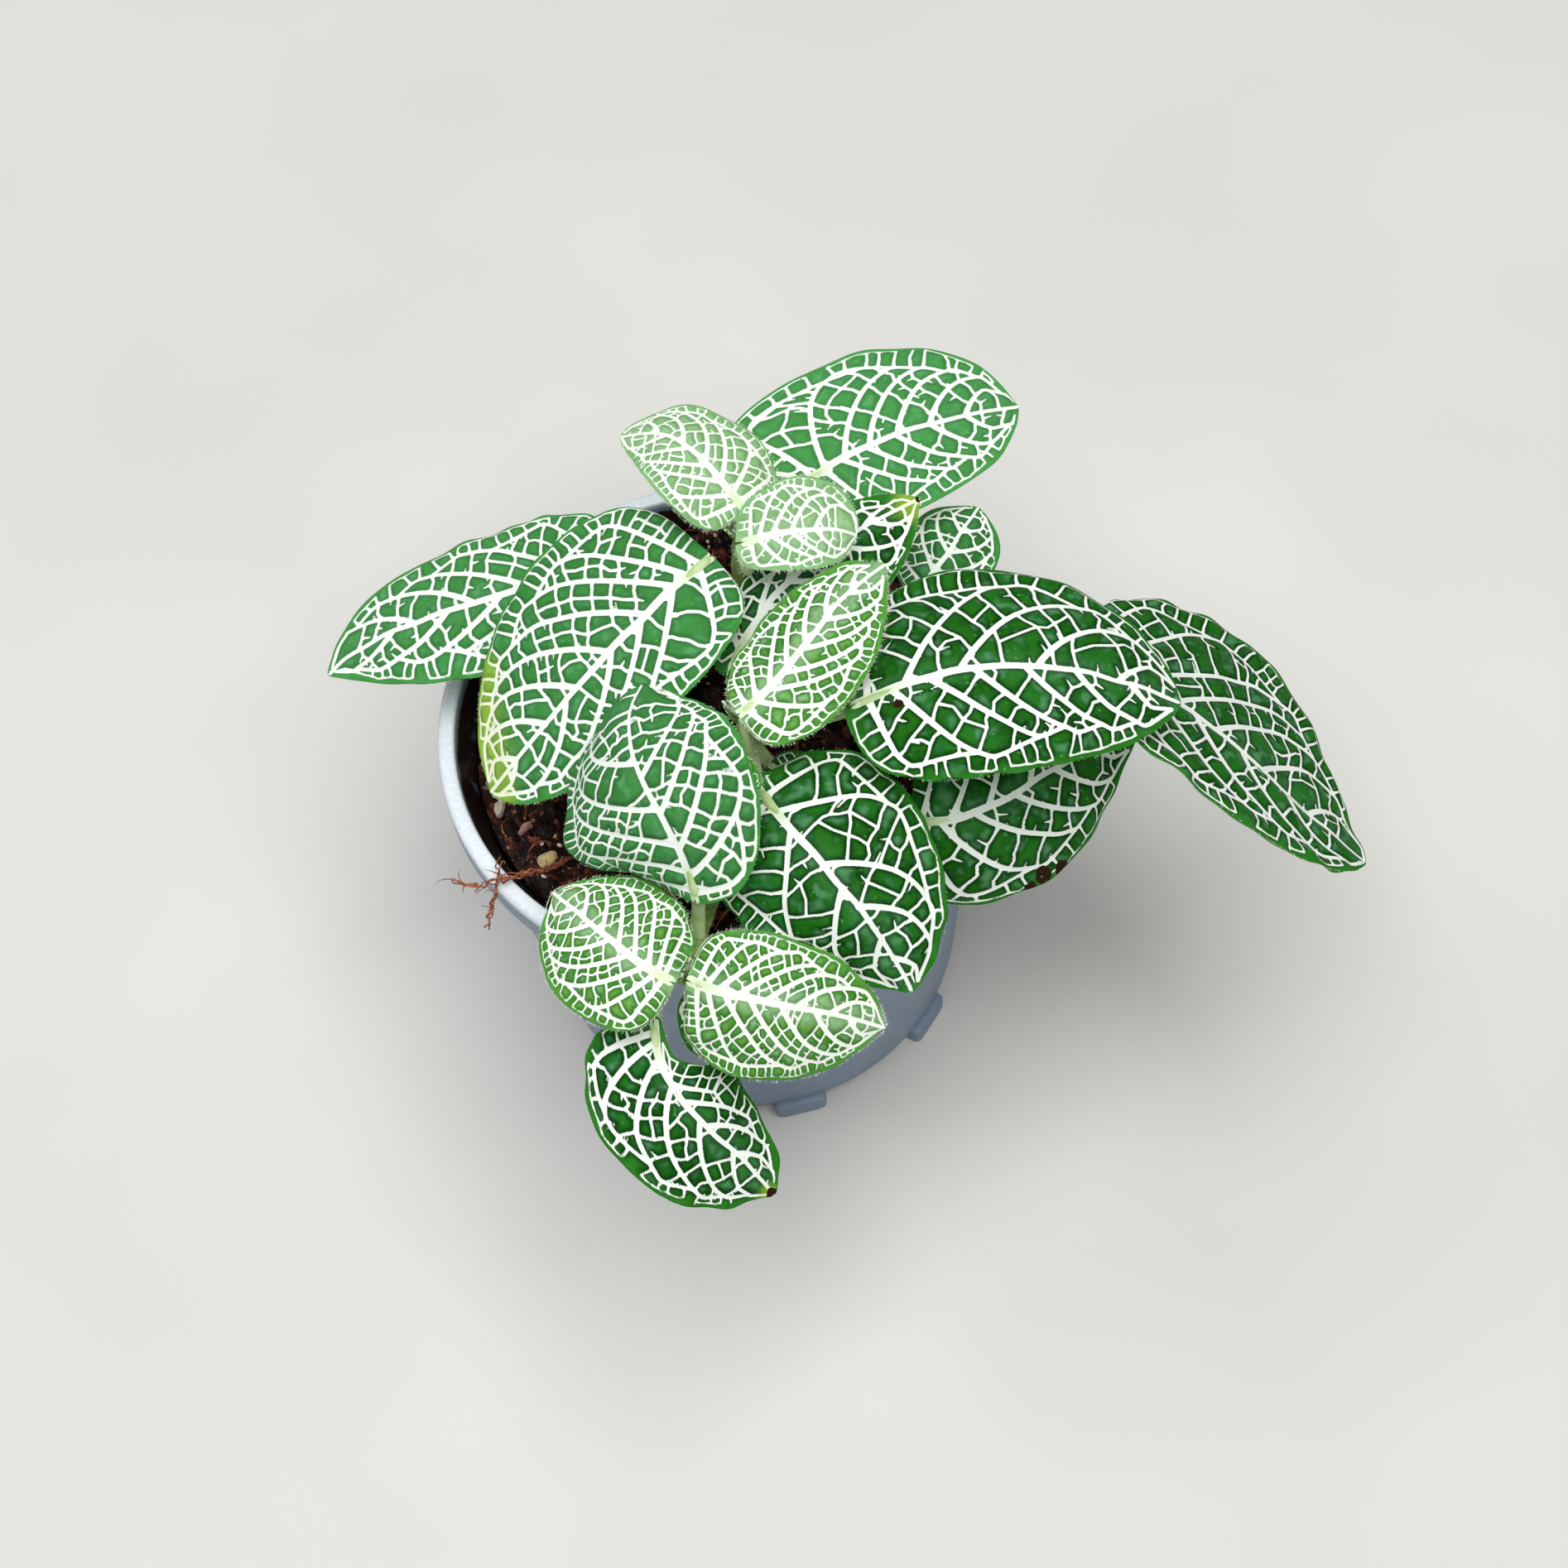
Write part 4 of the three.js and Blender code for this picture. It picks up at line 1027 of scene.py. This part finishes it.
def make_pot():
    """Profile turned about the axis: pad, underside, tapered wall, rounded overhanging lip, inner
    wall and floor; then eight rounded feet, and drain holes cut through the floor."""
    def arc(radius_at, height_at, radius, first, last, count):
        """Points of a circle's arc between two angles in degrees."""
        angles = np.radians(np.linspace(first, last, count))
        return [[radius_at + radius * math.cos(a), height_at + radius * math.sin(a)]
                for a in angles]
    floor_level = FOOT_HEIGHT + FLOOR
    lip = POT_HEIGHT - LIP_DROP
    profile = [[PAD_RADIUS - 0.4, 0], [PAD_RADIUS, 0.4], [PAD_RADIUS, FOOT_HEIGHT - 0.2],
               [PAD_RADIUS + 0.3, FOOT_HEIGHT], [FOOT_RADIUS - 4, FOOT_HEIGHT]]
    profile += arc(FOOT_RADIUS - 0.9, FOOT_HEIGHT + 0.9, 0.9, -90, 0, 7)
    profile += [[pot_radius(z), z] for z in np.linspace(4, lip - 0.5, 14)]
    profile += arc(pot_radius(lip) + 0.5, lip - 0.5, 0.5, 180, 100, 4)
    profile += arc(RIM_RADIUS - 0.5, lip + 0.5, 0.5, -90, 0, 5)
    profile += arc(RIM_RADIUS - LIP_ROUND, POT_HEIGHT - LIP_ROUND, LIP_ROUND, 0, 90, 9)
    profile += arc(RIM_RADIUS - LIP_WIDTH + 0.4, POT_HEIGHT - 0.4, 0.4, 90, 180, 7)
    rim_rows = len(profile)
    profile += [[RIM_RADIUS - LIP_WIDTH - 0.2, POT_HEIGHT - 2]]
    profile += [[pot_radius(z) - WALL, z] for z in np.linspace(lip - 1, floor_level + 0.8, 10)]
    profile += [[pot_radius(4) - WALL - 0.8, floor_level], [PAD_RADIUS, floor_level]]
    profile = np.array(profile)
    rows, columns = len(profile), 144
    turn = ring_angles(columns)[None]
    x = profile[:, :1] * np.cos(turn)
    y = profile[:, :1] * np.sin(turn)
    z = profile[:, 1:] + 0 * turn
    points = np.stack([x, y, z], -1).reshape(-1, 3)
    points = np.concatenate([points, [[0, 0, 0], [0, 0, floor_level]]])
    inside = np.append(np.repeat(np.arange(rows) >= rim_rows, columns), [False, True])
    heap = Heap("inside")
    heap.put(points, grid_faces(rows, columns, wrap=True), pole_fans(rows, columns), inside=inside)
    shell = heap.piece("pot_shell", "pot_plastic", ["pot"])
    for hole in range(DRAIN_HOLES):
        turn = 2 * math.pi * (hole + 0.5) / DRAIN_HOLES
        x, y = DRAIN_CIRCLE * math.cos(turn) * MM, DRAIN_CIRCLE * math.sin(turn) * MM
        bpy.ops.mesh.primitive_cylinder_add(
            vertices=40, radius=DRAIN_RADIUS * MM, depth=4 * FOOT_HEIGHT * MM,
            location=(x, y, FOOT_HEIGHT * MM))
        cutter = bpy.context.object
        cut = shell.modifiers.new("drain", "BOOLEAN")
        cut.object = cutter
        bpy.context.view_layer.objects.active = shell
        bpy.ops.object.modifier_apply(modifier="drain")
        bpy.data.objects.remove(cutter)
    feet = Heap("inside")
    for foot in range(FOOT_COUNT):
        turn = math.radians(FOOT_TURN) + 2 * math.pi * foot / FOOT_COUNT
        centre = (FOOT_RADIUS + FOOT_PROUD - FOOT_DEPTH / 2, 0, (FOOT_HEIGHT + 0.8) / 2)
        feet.put(*rounded_block(centre, (FOOT_DEPTH, FOOT_WIDTH, FOOT_HEIGHT + 0.8), turn))
    return [shell, feet.piece("pot_feet", "pot_plastic", ["pot"])]


# ---- potting mix ---------------------------------------------------------------------------


def soil_top(x, y):
    """Three crossing waves about the level of the mix, as the solids have them."""
    waves = np.sin(x * 0.9 + 1.3) + np.sin(y * 1.1 + x * 0.35) + np.sin((x - y) * 0.55 + 2)
    return SOIL_LEVEL + SOIL_BUMP * waves / 2


def bank(radius):
    """Rise of the mix towards the wall in mm: a smooth step of the distance from the axis."""
    return BANK_RISE * smooth_step(BANK_START, SOIL_REACH, radius)


def random_place(rng, reach):
    """Radius, x and y of a place anywhere on a disc, evenly likely all over it."""
    radius, turn = reach * math.sqrt(rng.random()), rng.uniform(0, 6.3)
    return radius, radius * math.cos(turn), radius * math.sin(turn)


def crumb_heap(x, y):
    """Height and shade of a heap of crumbs: the highest of many long or round balls that lie on
    the waves, each with its own radius, and the shade of the one on top. Hollows between them are
    deep, and the heap banks up a little against the wall."""
    rng = np.random.default_rng(CRUMB_SEED)
    count = CRUMB_COUNT
    radius = SOIL_REACH * np.sqrt(rng.random(count))
    turn = rng.uniform(0, 2 * np.pi, count)
    cx, cy = radius * np.cos(turn), radius * np.sin(turn)
    size = rng.gamma(3, 0.16, count) + 0.22
    lift = rng.uniform(-1.5, 0.25, count) - size * 0.3
    stretch = rng.uniform(0.45, 1, count)
    lean = rng.uniform(0, np.pi, count)
    shade = rng.random(count)
    deep = -1.9
    height = np.full(x.shape, deep)
    tone = np.zeros(x.shape)
    for first in range(0, x.size, 3000):
        part = slice(first, first + 3000)
        dx, dy = x[part, None] - cx, y[part, None] - cy
        a = dx * np.cos(lean) + dy * np.sin(lean)
        b = (dy * np.cos(lean) - dx * np.sin(lean)) / stretch
        square = size ** 2 - a ** 2 - b ** 2
        ball = np.where(square > 0, lift + np.sqrt(np.maximum(square, 0)), deep)
        best = ball.argmax(1)
        top = ball[np.arange(len(best)), best]
        height[part] = top
        tone[part] = np.where(top > deep, shade[best], 0)
    return soil_top(x, y) + height * 0.8 + bank(np.hypot(x, y)), tone


def make_soil():
    """Polar grid of the crumb heap, closed by a plain side and underside."""
    rings, count = 170, 370
    radius = np.linspace(0.15, 1, rings) ** 0.8 * SOIL_REACH
    turn = ring_angles(count)
    x = (radius[:, None] * np.cos(turn)).ravel()
    y = (radius[:, None] * np.sin(turn)).ravel()
    z, tone = crumb_heap(x, y)
    low = pot_radius(SOIL_BOTTOM) - WALL - 0.4
    foot = np.stack([low * np.cos(turn), low * np.sin(turn), np.full(count, SOIL_BOTTOM)], -1)
    ends = [[0, 0, soil_top(0, 0)], [0, 0, SOIL_BOTTOM]]
    points = np.concatenate([np.stack([x, y, z], -1), foot, ends])
    faces = grid_faces(rings + 1, count, wrap=True)[:, ::-1]
    caps = pole_fans(rings + 1, count)[:, [0, 2, 1]]
    tones = np.concatenate([tone, np.full(count + 2, 0.2)])
    return make_piece("mix_crumbs", points, faces, caps, ["soil"], {"crumb": tones})


# The larger grains, as x, y, radius and shade
GRAINS = [
    (-20, -11.4, 1.5, 0.35), (-25, 1.4, 1.3, 0.05), (-24.6, -4, 1.4, 0.1), (-20.2, -15.2, 1.2, 0),
    (-17, -17.5, 1, 0.9), (-22.5, 6, 1.1, 0.6), (-22, -7.5, 1, 0.72), (-15, -11, 1.2, 0.9),
    (-12, -20.5, 1.1, 0.3), (-18, 13, 1.2, 0.1), (9.5, -18, 1.2, 0.4), (16, -17, 1.1, 0.1),
    (-8, 20, 1.1, 0.3), (19, 12, 1.2, 0), (10.5, 20, 1, 0.5),
]


def pebble(centre, size, seed, rows, columns):
    """A ball whose radius varies with smooth random waves, flattened and turned at random."""
    rng = np.random.default_rng(seed)
    rise, turn = ball_angles(rows, columns)
    x, y, z = np.cos(rise) * np.cos(turn), np.cos(rise) * np.sin(turn), np.sin(rise) + 0 * turn
    ball = np.stack([x, y, z], -1).reshape(-1, 3)
    ball = np.concatenate([ball, [[0, 0, -1], [0, 0, 1]]])
    ball = ball * (1 + 0.16 * ripple(ball, 1.1, seed) + 0.06 * ripple(ball, 0.4, seed + 1))[:, None]
    ball = ball * rng.uniform([1, 0.55, 0.5], [1.35, 0.9, 0.85])
    turns = Matrix.Rotation(rng.uniform(0, 6.3), 3, "Z")
    turns = turns @ Matrix.Rotation(rng.uniform(-0.5, 0.5), 3, "X")
    points = ball @ np.array(turns).T * size + np.array(centre)
    return points, grid_faces(rows, columns, wrap=True), pole_fans(rows, columns)


def make_grains():
    """The seen grains, then small ones scattered at random over the mix."""
    rng = np.random.default_rng(GRAIN_SEED)
    heap = Heap("shade")
    for k, (x, y, size, shade) in enumerate(GRAINS):
        heap.put(*pebble((x, y, soil_top(x, y) + 0.5), size * 0.72, 40 + k, 12, 20), shade=shade)
    for k in range(GRAIN_COUNT):
        radius, x, y = random_place(rng, GRAIN_REACH)
        size = rng.uniform(0.14, 0.42)
        shade = rng.choice([0.02, 0.4, 0.7, 0.7, 0.95, 1.0])
        place = (x, y, soil_top(x, y) + bank(radius) + 0.2)
        heap.put(*pebble(place, size, 100 + k, 5, 8), shade=shade)
    return heap.piece("mix_grains", "potting_mix", ["soil"])


def make_fibres():
    """Coir fibres: thin tapering tubes on arcs that rise out of the mix and go back into it, by a
    power of sin along their way, scattered at random and held inside the wall."""
    rng = np.random.default_rng(FIBRE_SEED)
    heap = Heap()
    share = np.linspace(0, 1, 12)
    for _ in range(FIBRE_COUNT):
        _, x, y = random_place(rng, FIBRE_REACH)
        heading, bend = rng.uniform(0, 6.3), rng.normal(0, 0.8)
        length, lift = rng.uniform(1.5, 6), rng.uniform(0.1, 1.3)
        angle = heading + bend * share
        px = x + np.cumsum(np.cos(angle)) * length / 12
        py = y + np.cumsum(np.sin(angle)) * length / 12
        held = np.minimum(1, (FIBRE_REACH + 0.6) / np.hypot(px, py))
        px, py = px * held, py * held
        pz = (soil_top(px, py) + bank(np.hypot(px, py)) - 0.1
              + lift * np.sin(np.pi * share) ** 0.7)
        thick = rng.uniform(0.06, 0.17)
        heap.put(*tube(np.stack([px, py, pz], -1), thick * (1 - 0.5 * share), 5))
    return heap.piece("mix_fibres", "root_fibre", ["soil"])


# Lines of the root strand: the main bundle, then its branches
STRAND = [
    [[-17.5, -12.6, 49.3], [-20.2, -14.8, 51.6], [-22.6, -15.6, 53], [-25.3, -16, 53.1],
     [-30, -16.8, 52.6]],
    [[-25.1, -16, 53.1], [-24.6, -14.6, 53.2], [-24.2, -13.2, 53.1]],
    [[-24.8, -16, 53.1], [-25.6, -18.2, 53], [-26.4, -19.8, 51.4], [-26, -20.6, 50]],
    [[-27, -16.2, 53], [-28.6, -15.6, 53.1], [-29.8, -14.6, 52.7]],
]


def make_strand():
    """The torn root strand: bundles of thin threads that wander about their lines, part and curl
    at their ends, and taper."""
    rng = np.random.default_rng(STRAND_SEED)
    heap = Heap()
    for index, line in enumerate(STRAND):
        for copy in range(5 if index == 0 else 2):
            share = np.linspace(0, rng.uniform(0.7, 0.88), 44)
            path = through(line, share)
            stray = [ripple(path + 9 * copy + 3 * k, 1.8, 50 + 7 * index + k) for k in range(3)]
            path = path + np.stack(stray, -1) * [0.3, 0.3, 0.2] * (0.5 + share[:, None])
            path = path + rng.normal(0, 0.16, 3) * [1, 1, 0.4]
            heap.put(*tube(path, rng.uniform(0.07, 0.15) * (1.1 - 0.75 * share ** 2), 7))
        for _ in range(3):
            root = path[rng.integers(10, 40)]
            share = np.linspace(0, 1, 16)
            angle = rng.uniform(0, 6.3) + rng.normal(0, 1.6) * share
            step = np.stack([np.cos(angle), np.sin(angle), 0.25 * np.sin(4 * share)], -1)
            twig = np.cumsum(step, 0) * rng.uniform(0.9, 2.4) / 16
            heap.put(*tube(root + twig, 0.085 * (1 - 0.7 * share), 5))
    return heap.piece("root_threads", "root_fibre", ["root_strand"])


# ---- stems, buds and down ------------------------------------------------------------------


def make_stem(name):
    """A stem: a tube along its line that tapers by a third, with a bell-shaped swelling where a
    pair of leaves joins it."""
    share = np.linspace(0, 1, 90)
    path = through(STEMS[name], share)
    joints = sorted({leaf["at"] for leaf in LEAVES.values() if leaf["stem"] == name})
    swell = sum(np.exp(-((share - at) / 0.03) ** 2) for at in joints)
    radii = STEM_RADIUS * (1 - 0.36 * share) * (1 + 0.22 * np.minimum(swell, 1))
    radii = radii * (1 + 0.03 * ripple(path, 3, 7))
    heap = Heap()
    heap.put(*tube(path, radii, 20))
    return heap.piece("stem_" + name + "_skin", "stem", ["stem_" + name])


def leaflet(base, heading, lean, length, width, cup):
    """A tiny unopened leaf: midrib rising along its heading, sides cupped up with the square of
    the way across, half width a sine of the way along."""
    rows, wide = 16, 11
    count = rows * wide
    s = np.linspace(0.02, 1, rows)[:, None]
    v = np.linspace(-1, 1, wide)[None]
    half = width / 2 * np.sin(np.pi * s ** 0.8) ** 0.8 + 0.02
    level = math.cos(lean)
    along = np.array([math.cos(heading) * level, math.sin(heading) * level, math.sin(lean)])
    side = unit(np.cross(along, [0, 0, 1.0]))
    up = np.cross(side, along)
    curl = 0.18 * length * s ** 2
    face = (np.array(base) + along * (s * length)[..., None] + side * (v * half)[..., None]
            + up * (cup * v * v * half + curl)[..., None])
    back = face - up * 0.16
    points = np.concatenate([face.reshape(-1, 3), back.reshape(-1, 3)])
    upper = grid_faces(rows, wide)
    lower = grid_faces(rows, wide, first=count)[:, ::-1]
    loop = np.concatenate([np.arange(wide), np.arange(1, rows) * wide + wide - 1,
                           count - wide + np.arange(wide - 2, -1, -1),
                           np.arange(rows - 2, 0, -1) * wide])
    after = np.roll(loop, -1)
    rim = np.stack([after, loop, loop + count, after + count], 1)
    gap = np.abs(v * half) - 0.09 + 0 * s
    ribs = np.abs(((s * 7 - np.abs(v) * 1.6) % 1) - 0.5) * 0.5 - 0.07
    net = np.minimum(gap, ribs).ravel()
    return points, np.concatenate([upper, lower, rim]), np.concatenate([net, net])


# The tiny leaves at each growing tip, as heading and lean in radians and length in mm
BUDS = {
    "front": [(0.5, 1.0, 3.4), (3.6, 1.1, 3.2), (1.9, 1.2, 2.3), (5.0, 1.25, 2.2)],
    "middle": [(2.6, 0.75, 3.4), (5.7, 0.9, 3.0), (4.1, 1.2, 2.0)],
    "back": [(3.3, 0.9, 3.8), (0.2, 1.0, 3.4), (1.8, 1.1, 2.8), (4.8, 1.1, 2.6)],
}


def make_bud(name):
    """The growing tip: a few tiny cupped leaves about the end of the stem."""
    tip = through(STEMS[name], [1.0])[0]
    heap = Heap(*LEAF_VALUES)
    for heading, lean, length in BUDS[name]:
        points, quads, net = leaflet(tip + [0, 0, -0.3], heading, lean, length, length * 0.55, 0.45)
        heap.put(points, quads, vein=net, edge=3, yellow=0.35)
    return heap.piece("bud_" + name, "young_leaf", ["stem_" + name])


def down(heap, roots, ways, lengths):
    """Fine hairs: three-sided spikes from each root along its way."""
    ways = unit(ways)
    side = unit(np.cross(ways, [0.3, 0.5, 0.8]))
    other = np.cross(ways, side)
    turn = (np.arange(3) * 2 * np.pi / 3)[None, :, None]
    ring = side[:, None] * np.cos(turn) + other[:, None] * np.sin(turn)
    foot = roots[:, None] + ring * HAIR_RADIUS
    tip = roots[:, None] + (ways * lengths[:, None])[:, None]
    points = np.concatenate([foot, tip], 1).reshape(-1, 3)
    first = np.arange(len(roots))[:, None, None] * 4
    faces = np.array([[0, 1, 3], [1, 2, 3], [2, 0, 3], [2, 1, 0]])[None] + first
    heap.put(points, triangles=faces)


def down_round(heap, rng, path, count, radius, shortest):
    """Hairs at random places of a path, out from just under its skin in random directions."""
    spots = path[rng.integers(0, len(path), count)]
    out = unit(rng.normal(size=(count, 3)))
    down(heap, spots + out * radius * 0.8, out, rng.uniform(shortest, 0.7, count))


def make_down():
    """Down along the leaf rims, stalks and stems."""
    rng = np.random.default_rng(DOWN_SEED)
    heap = Heap()
    for leaf in LEAVES.values():
        young = leaf.get("young", 0)
        count = int(length_of(leaf) * (RIM_HAIRS + YOUNG_RIM_HAIRS * young))
        s = rng.uniform(0.04, 0.97, count)
        v = rng.choice([-1.0, 1.0], count)
        rim = blade_surface(leaf, s, v)
        out = unit(rim - blade_surface(leaf, s, v * 0.96)) + rng.normal(0, 0.35, (count, 3))
        down(heap, rim, out, rng.uniform(0.12, 0.28 + 0.3 * young, count))
        path = through(stalk_path(leaf)[:4], np.linspace(0, 1, 60))
        down_round(heap, rng, path, STALK_HAIRS, STALK_RADIUS, 0.3)
    for line in STEMS.values():
        down_round(heap, rng, through(line, np.linspace(0.3, 1, 120)), STEM_HAIRS, 1, 0.35)
    return heap.piece("plant_down", "stem", smooth=False)


# ---- putting it together -------------------------------------------------------------------


# In each tint, near is painted shade beside the veins, and the greyer green patch colour is painted
# sheen.
TISSUES = {
    "old_leaf": leaf_tissue("mature_leaf_tissue", dict(
        dark="#033f07", light="#1b6722", near="#012504", rim="#2f7d20", warm="#2c7316",
        painted_sheen="#5d9868", pale="#6ac372", vein="#eff6ee", midrib="#cfe3b6", below="#7fa27c"),
        milky=0.15, wax=0.42),
    # in both tints, pale is the lighter colour that paints whole leaves as painted light
    "young_leaf": leaf_tissue("young_leaf_tissue", dict(
        dark="#2f7d24", light="#67a851", near="#1d6a16", rim="#4c9436", warm="#7ba64a",
        painted_sheen="#a3c79d", pale="#a9d2a0", vein="#f4faef", midrib="#dcebc6", below="#a3bf8f"),
        milky=0.5, wax=0.45),
}

for index, (name, leaf) in enumerate(LEAVES.items()):
    slot = "young_leaf" if leaf.get("young", 0) > 0.5 else "old_leaf"
    make_leaf(name, leaf, LEAF_SEED + index, slot).data.materials.append(TISSUES[slot])

skin = stem_skin()
for name in STEMS:
    make_stem(name).data.materials.append(skin)
for name in BUDS:
    make_bud(name).data.materials.append(TISSUES["young_leaf"])
make_down().data.materials.append(hair_skin())

plastic = moulded_plastic()
for piece in make_pot():
    piece.data.materials.append(plastic)
make_soil().data.materials.append(damp_mix())
make_grains().data.materials.append(mineral_grain())
fibre = dry_fibre()
make_fibres().data.materials.append(fibre)
make_strand().data.materials.append(fibre)

# Floor, light and camera
bpy.ops.mesh.primitive_plane_add(size=FLOOR_SIZE, location=(0, 0, 0))
floor = bpy.context.object
floor.name = "floor"
floor.data.materials.append(studio_paper())

bpy.context.scene.view_settings.view_transform = "Standard"
world = bpy.data.worlds.new("studio")
bpy.context.scene.world = world
world.use_nodes = True
world.node_tree.nodes["Background"].inputs[0].default_value = SKY_COLOUR
world.node_tree.nodes["Background"].inputs[1].default_value = SKY_STRENGTH


def place_in_view(item, place, right, up, back):
    """Puts a lamp or camera in the scene, its own axes along the three directions."""
    columns = np.stack([right, up, back], 1)
    item.matrix_world = Matrix.Translation(place) @ Matrix(columns.tolist()).to_4x4()
    bpy.context.scene.collection.objects.link(item)


def soft_light(name, place, size, power, colour):
    """A square soft box at a place in metres, facing the plant."""
    data = bpy.data.lights.new(name, "AREA")
    data.size = size
    data.energy = power
    data.color = colour
    way = np.array([0.0, 0, 0.05]) - np.array(place)
    level = unit(np.cross(way, [0, 0, 1.0]))
    back = -unit(way)
    place_in_view(bpy.data.objects.new(name, data), place, level, np.cross(back, level), back)


for name, (place, size, power, colour) in SOFT_BOXES.items():
    soft_light(name, place, size, power, colour)

camera_data = bpy.data.cameras.new("camera")
camera_data.sensor_width = SENSOR_WIDTH
camera_data.lens = SENSOR_WIDTH / 2 / math.tan(math.radians(VIEW_ANGLE / 2))
camera_data.clip_start = 0.01
camera = bpy.data.objects.new("camera", camera_data)
place_in_view(camera, CAMERA_PLACE, CAMERA_RIGHT, CAMERA_UP, -np.array(CAMERA_FORWARD))
bpy.context.scene.camera = camera

bpy.context.view_layer.update()
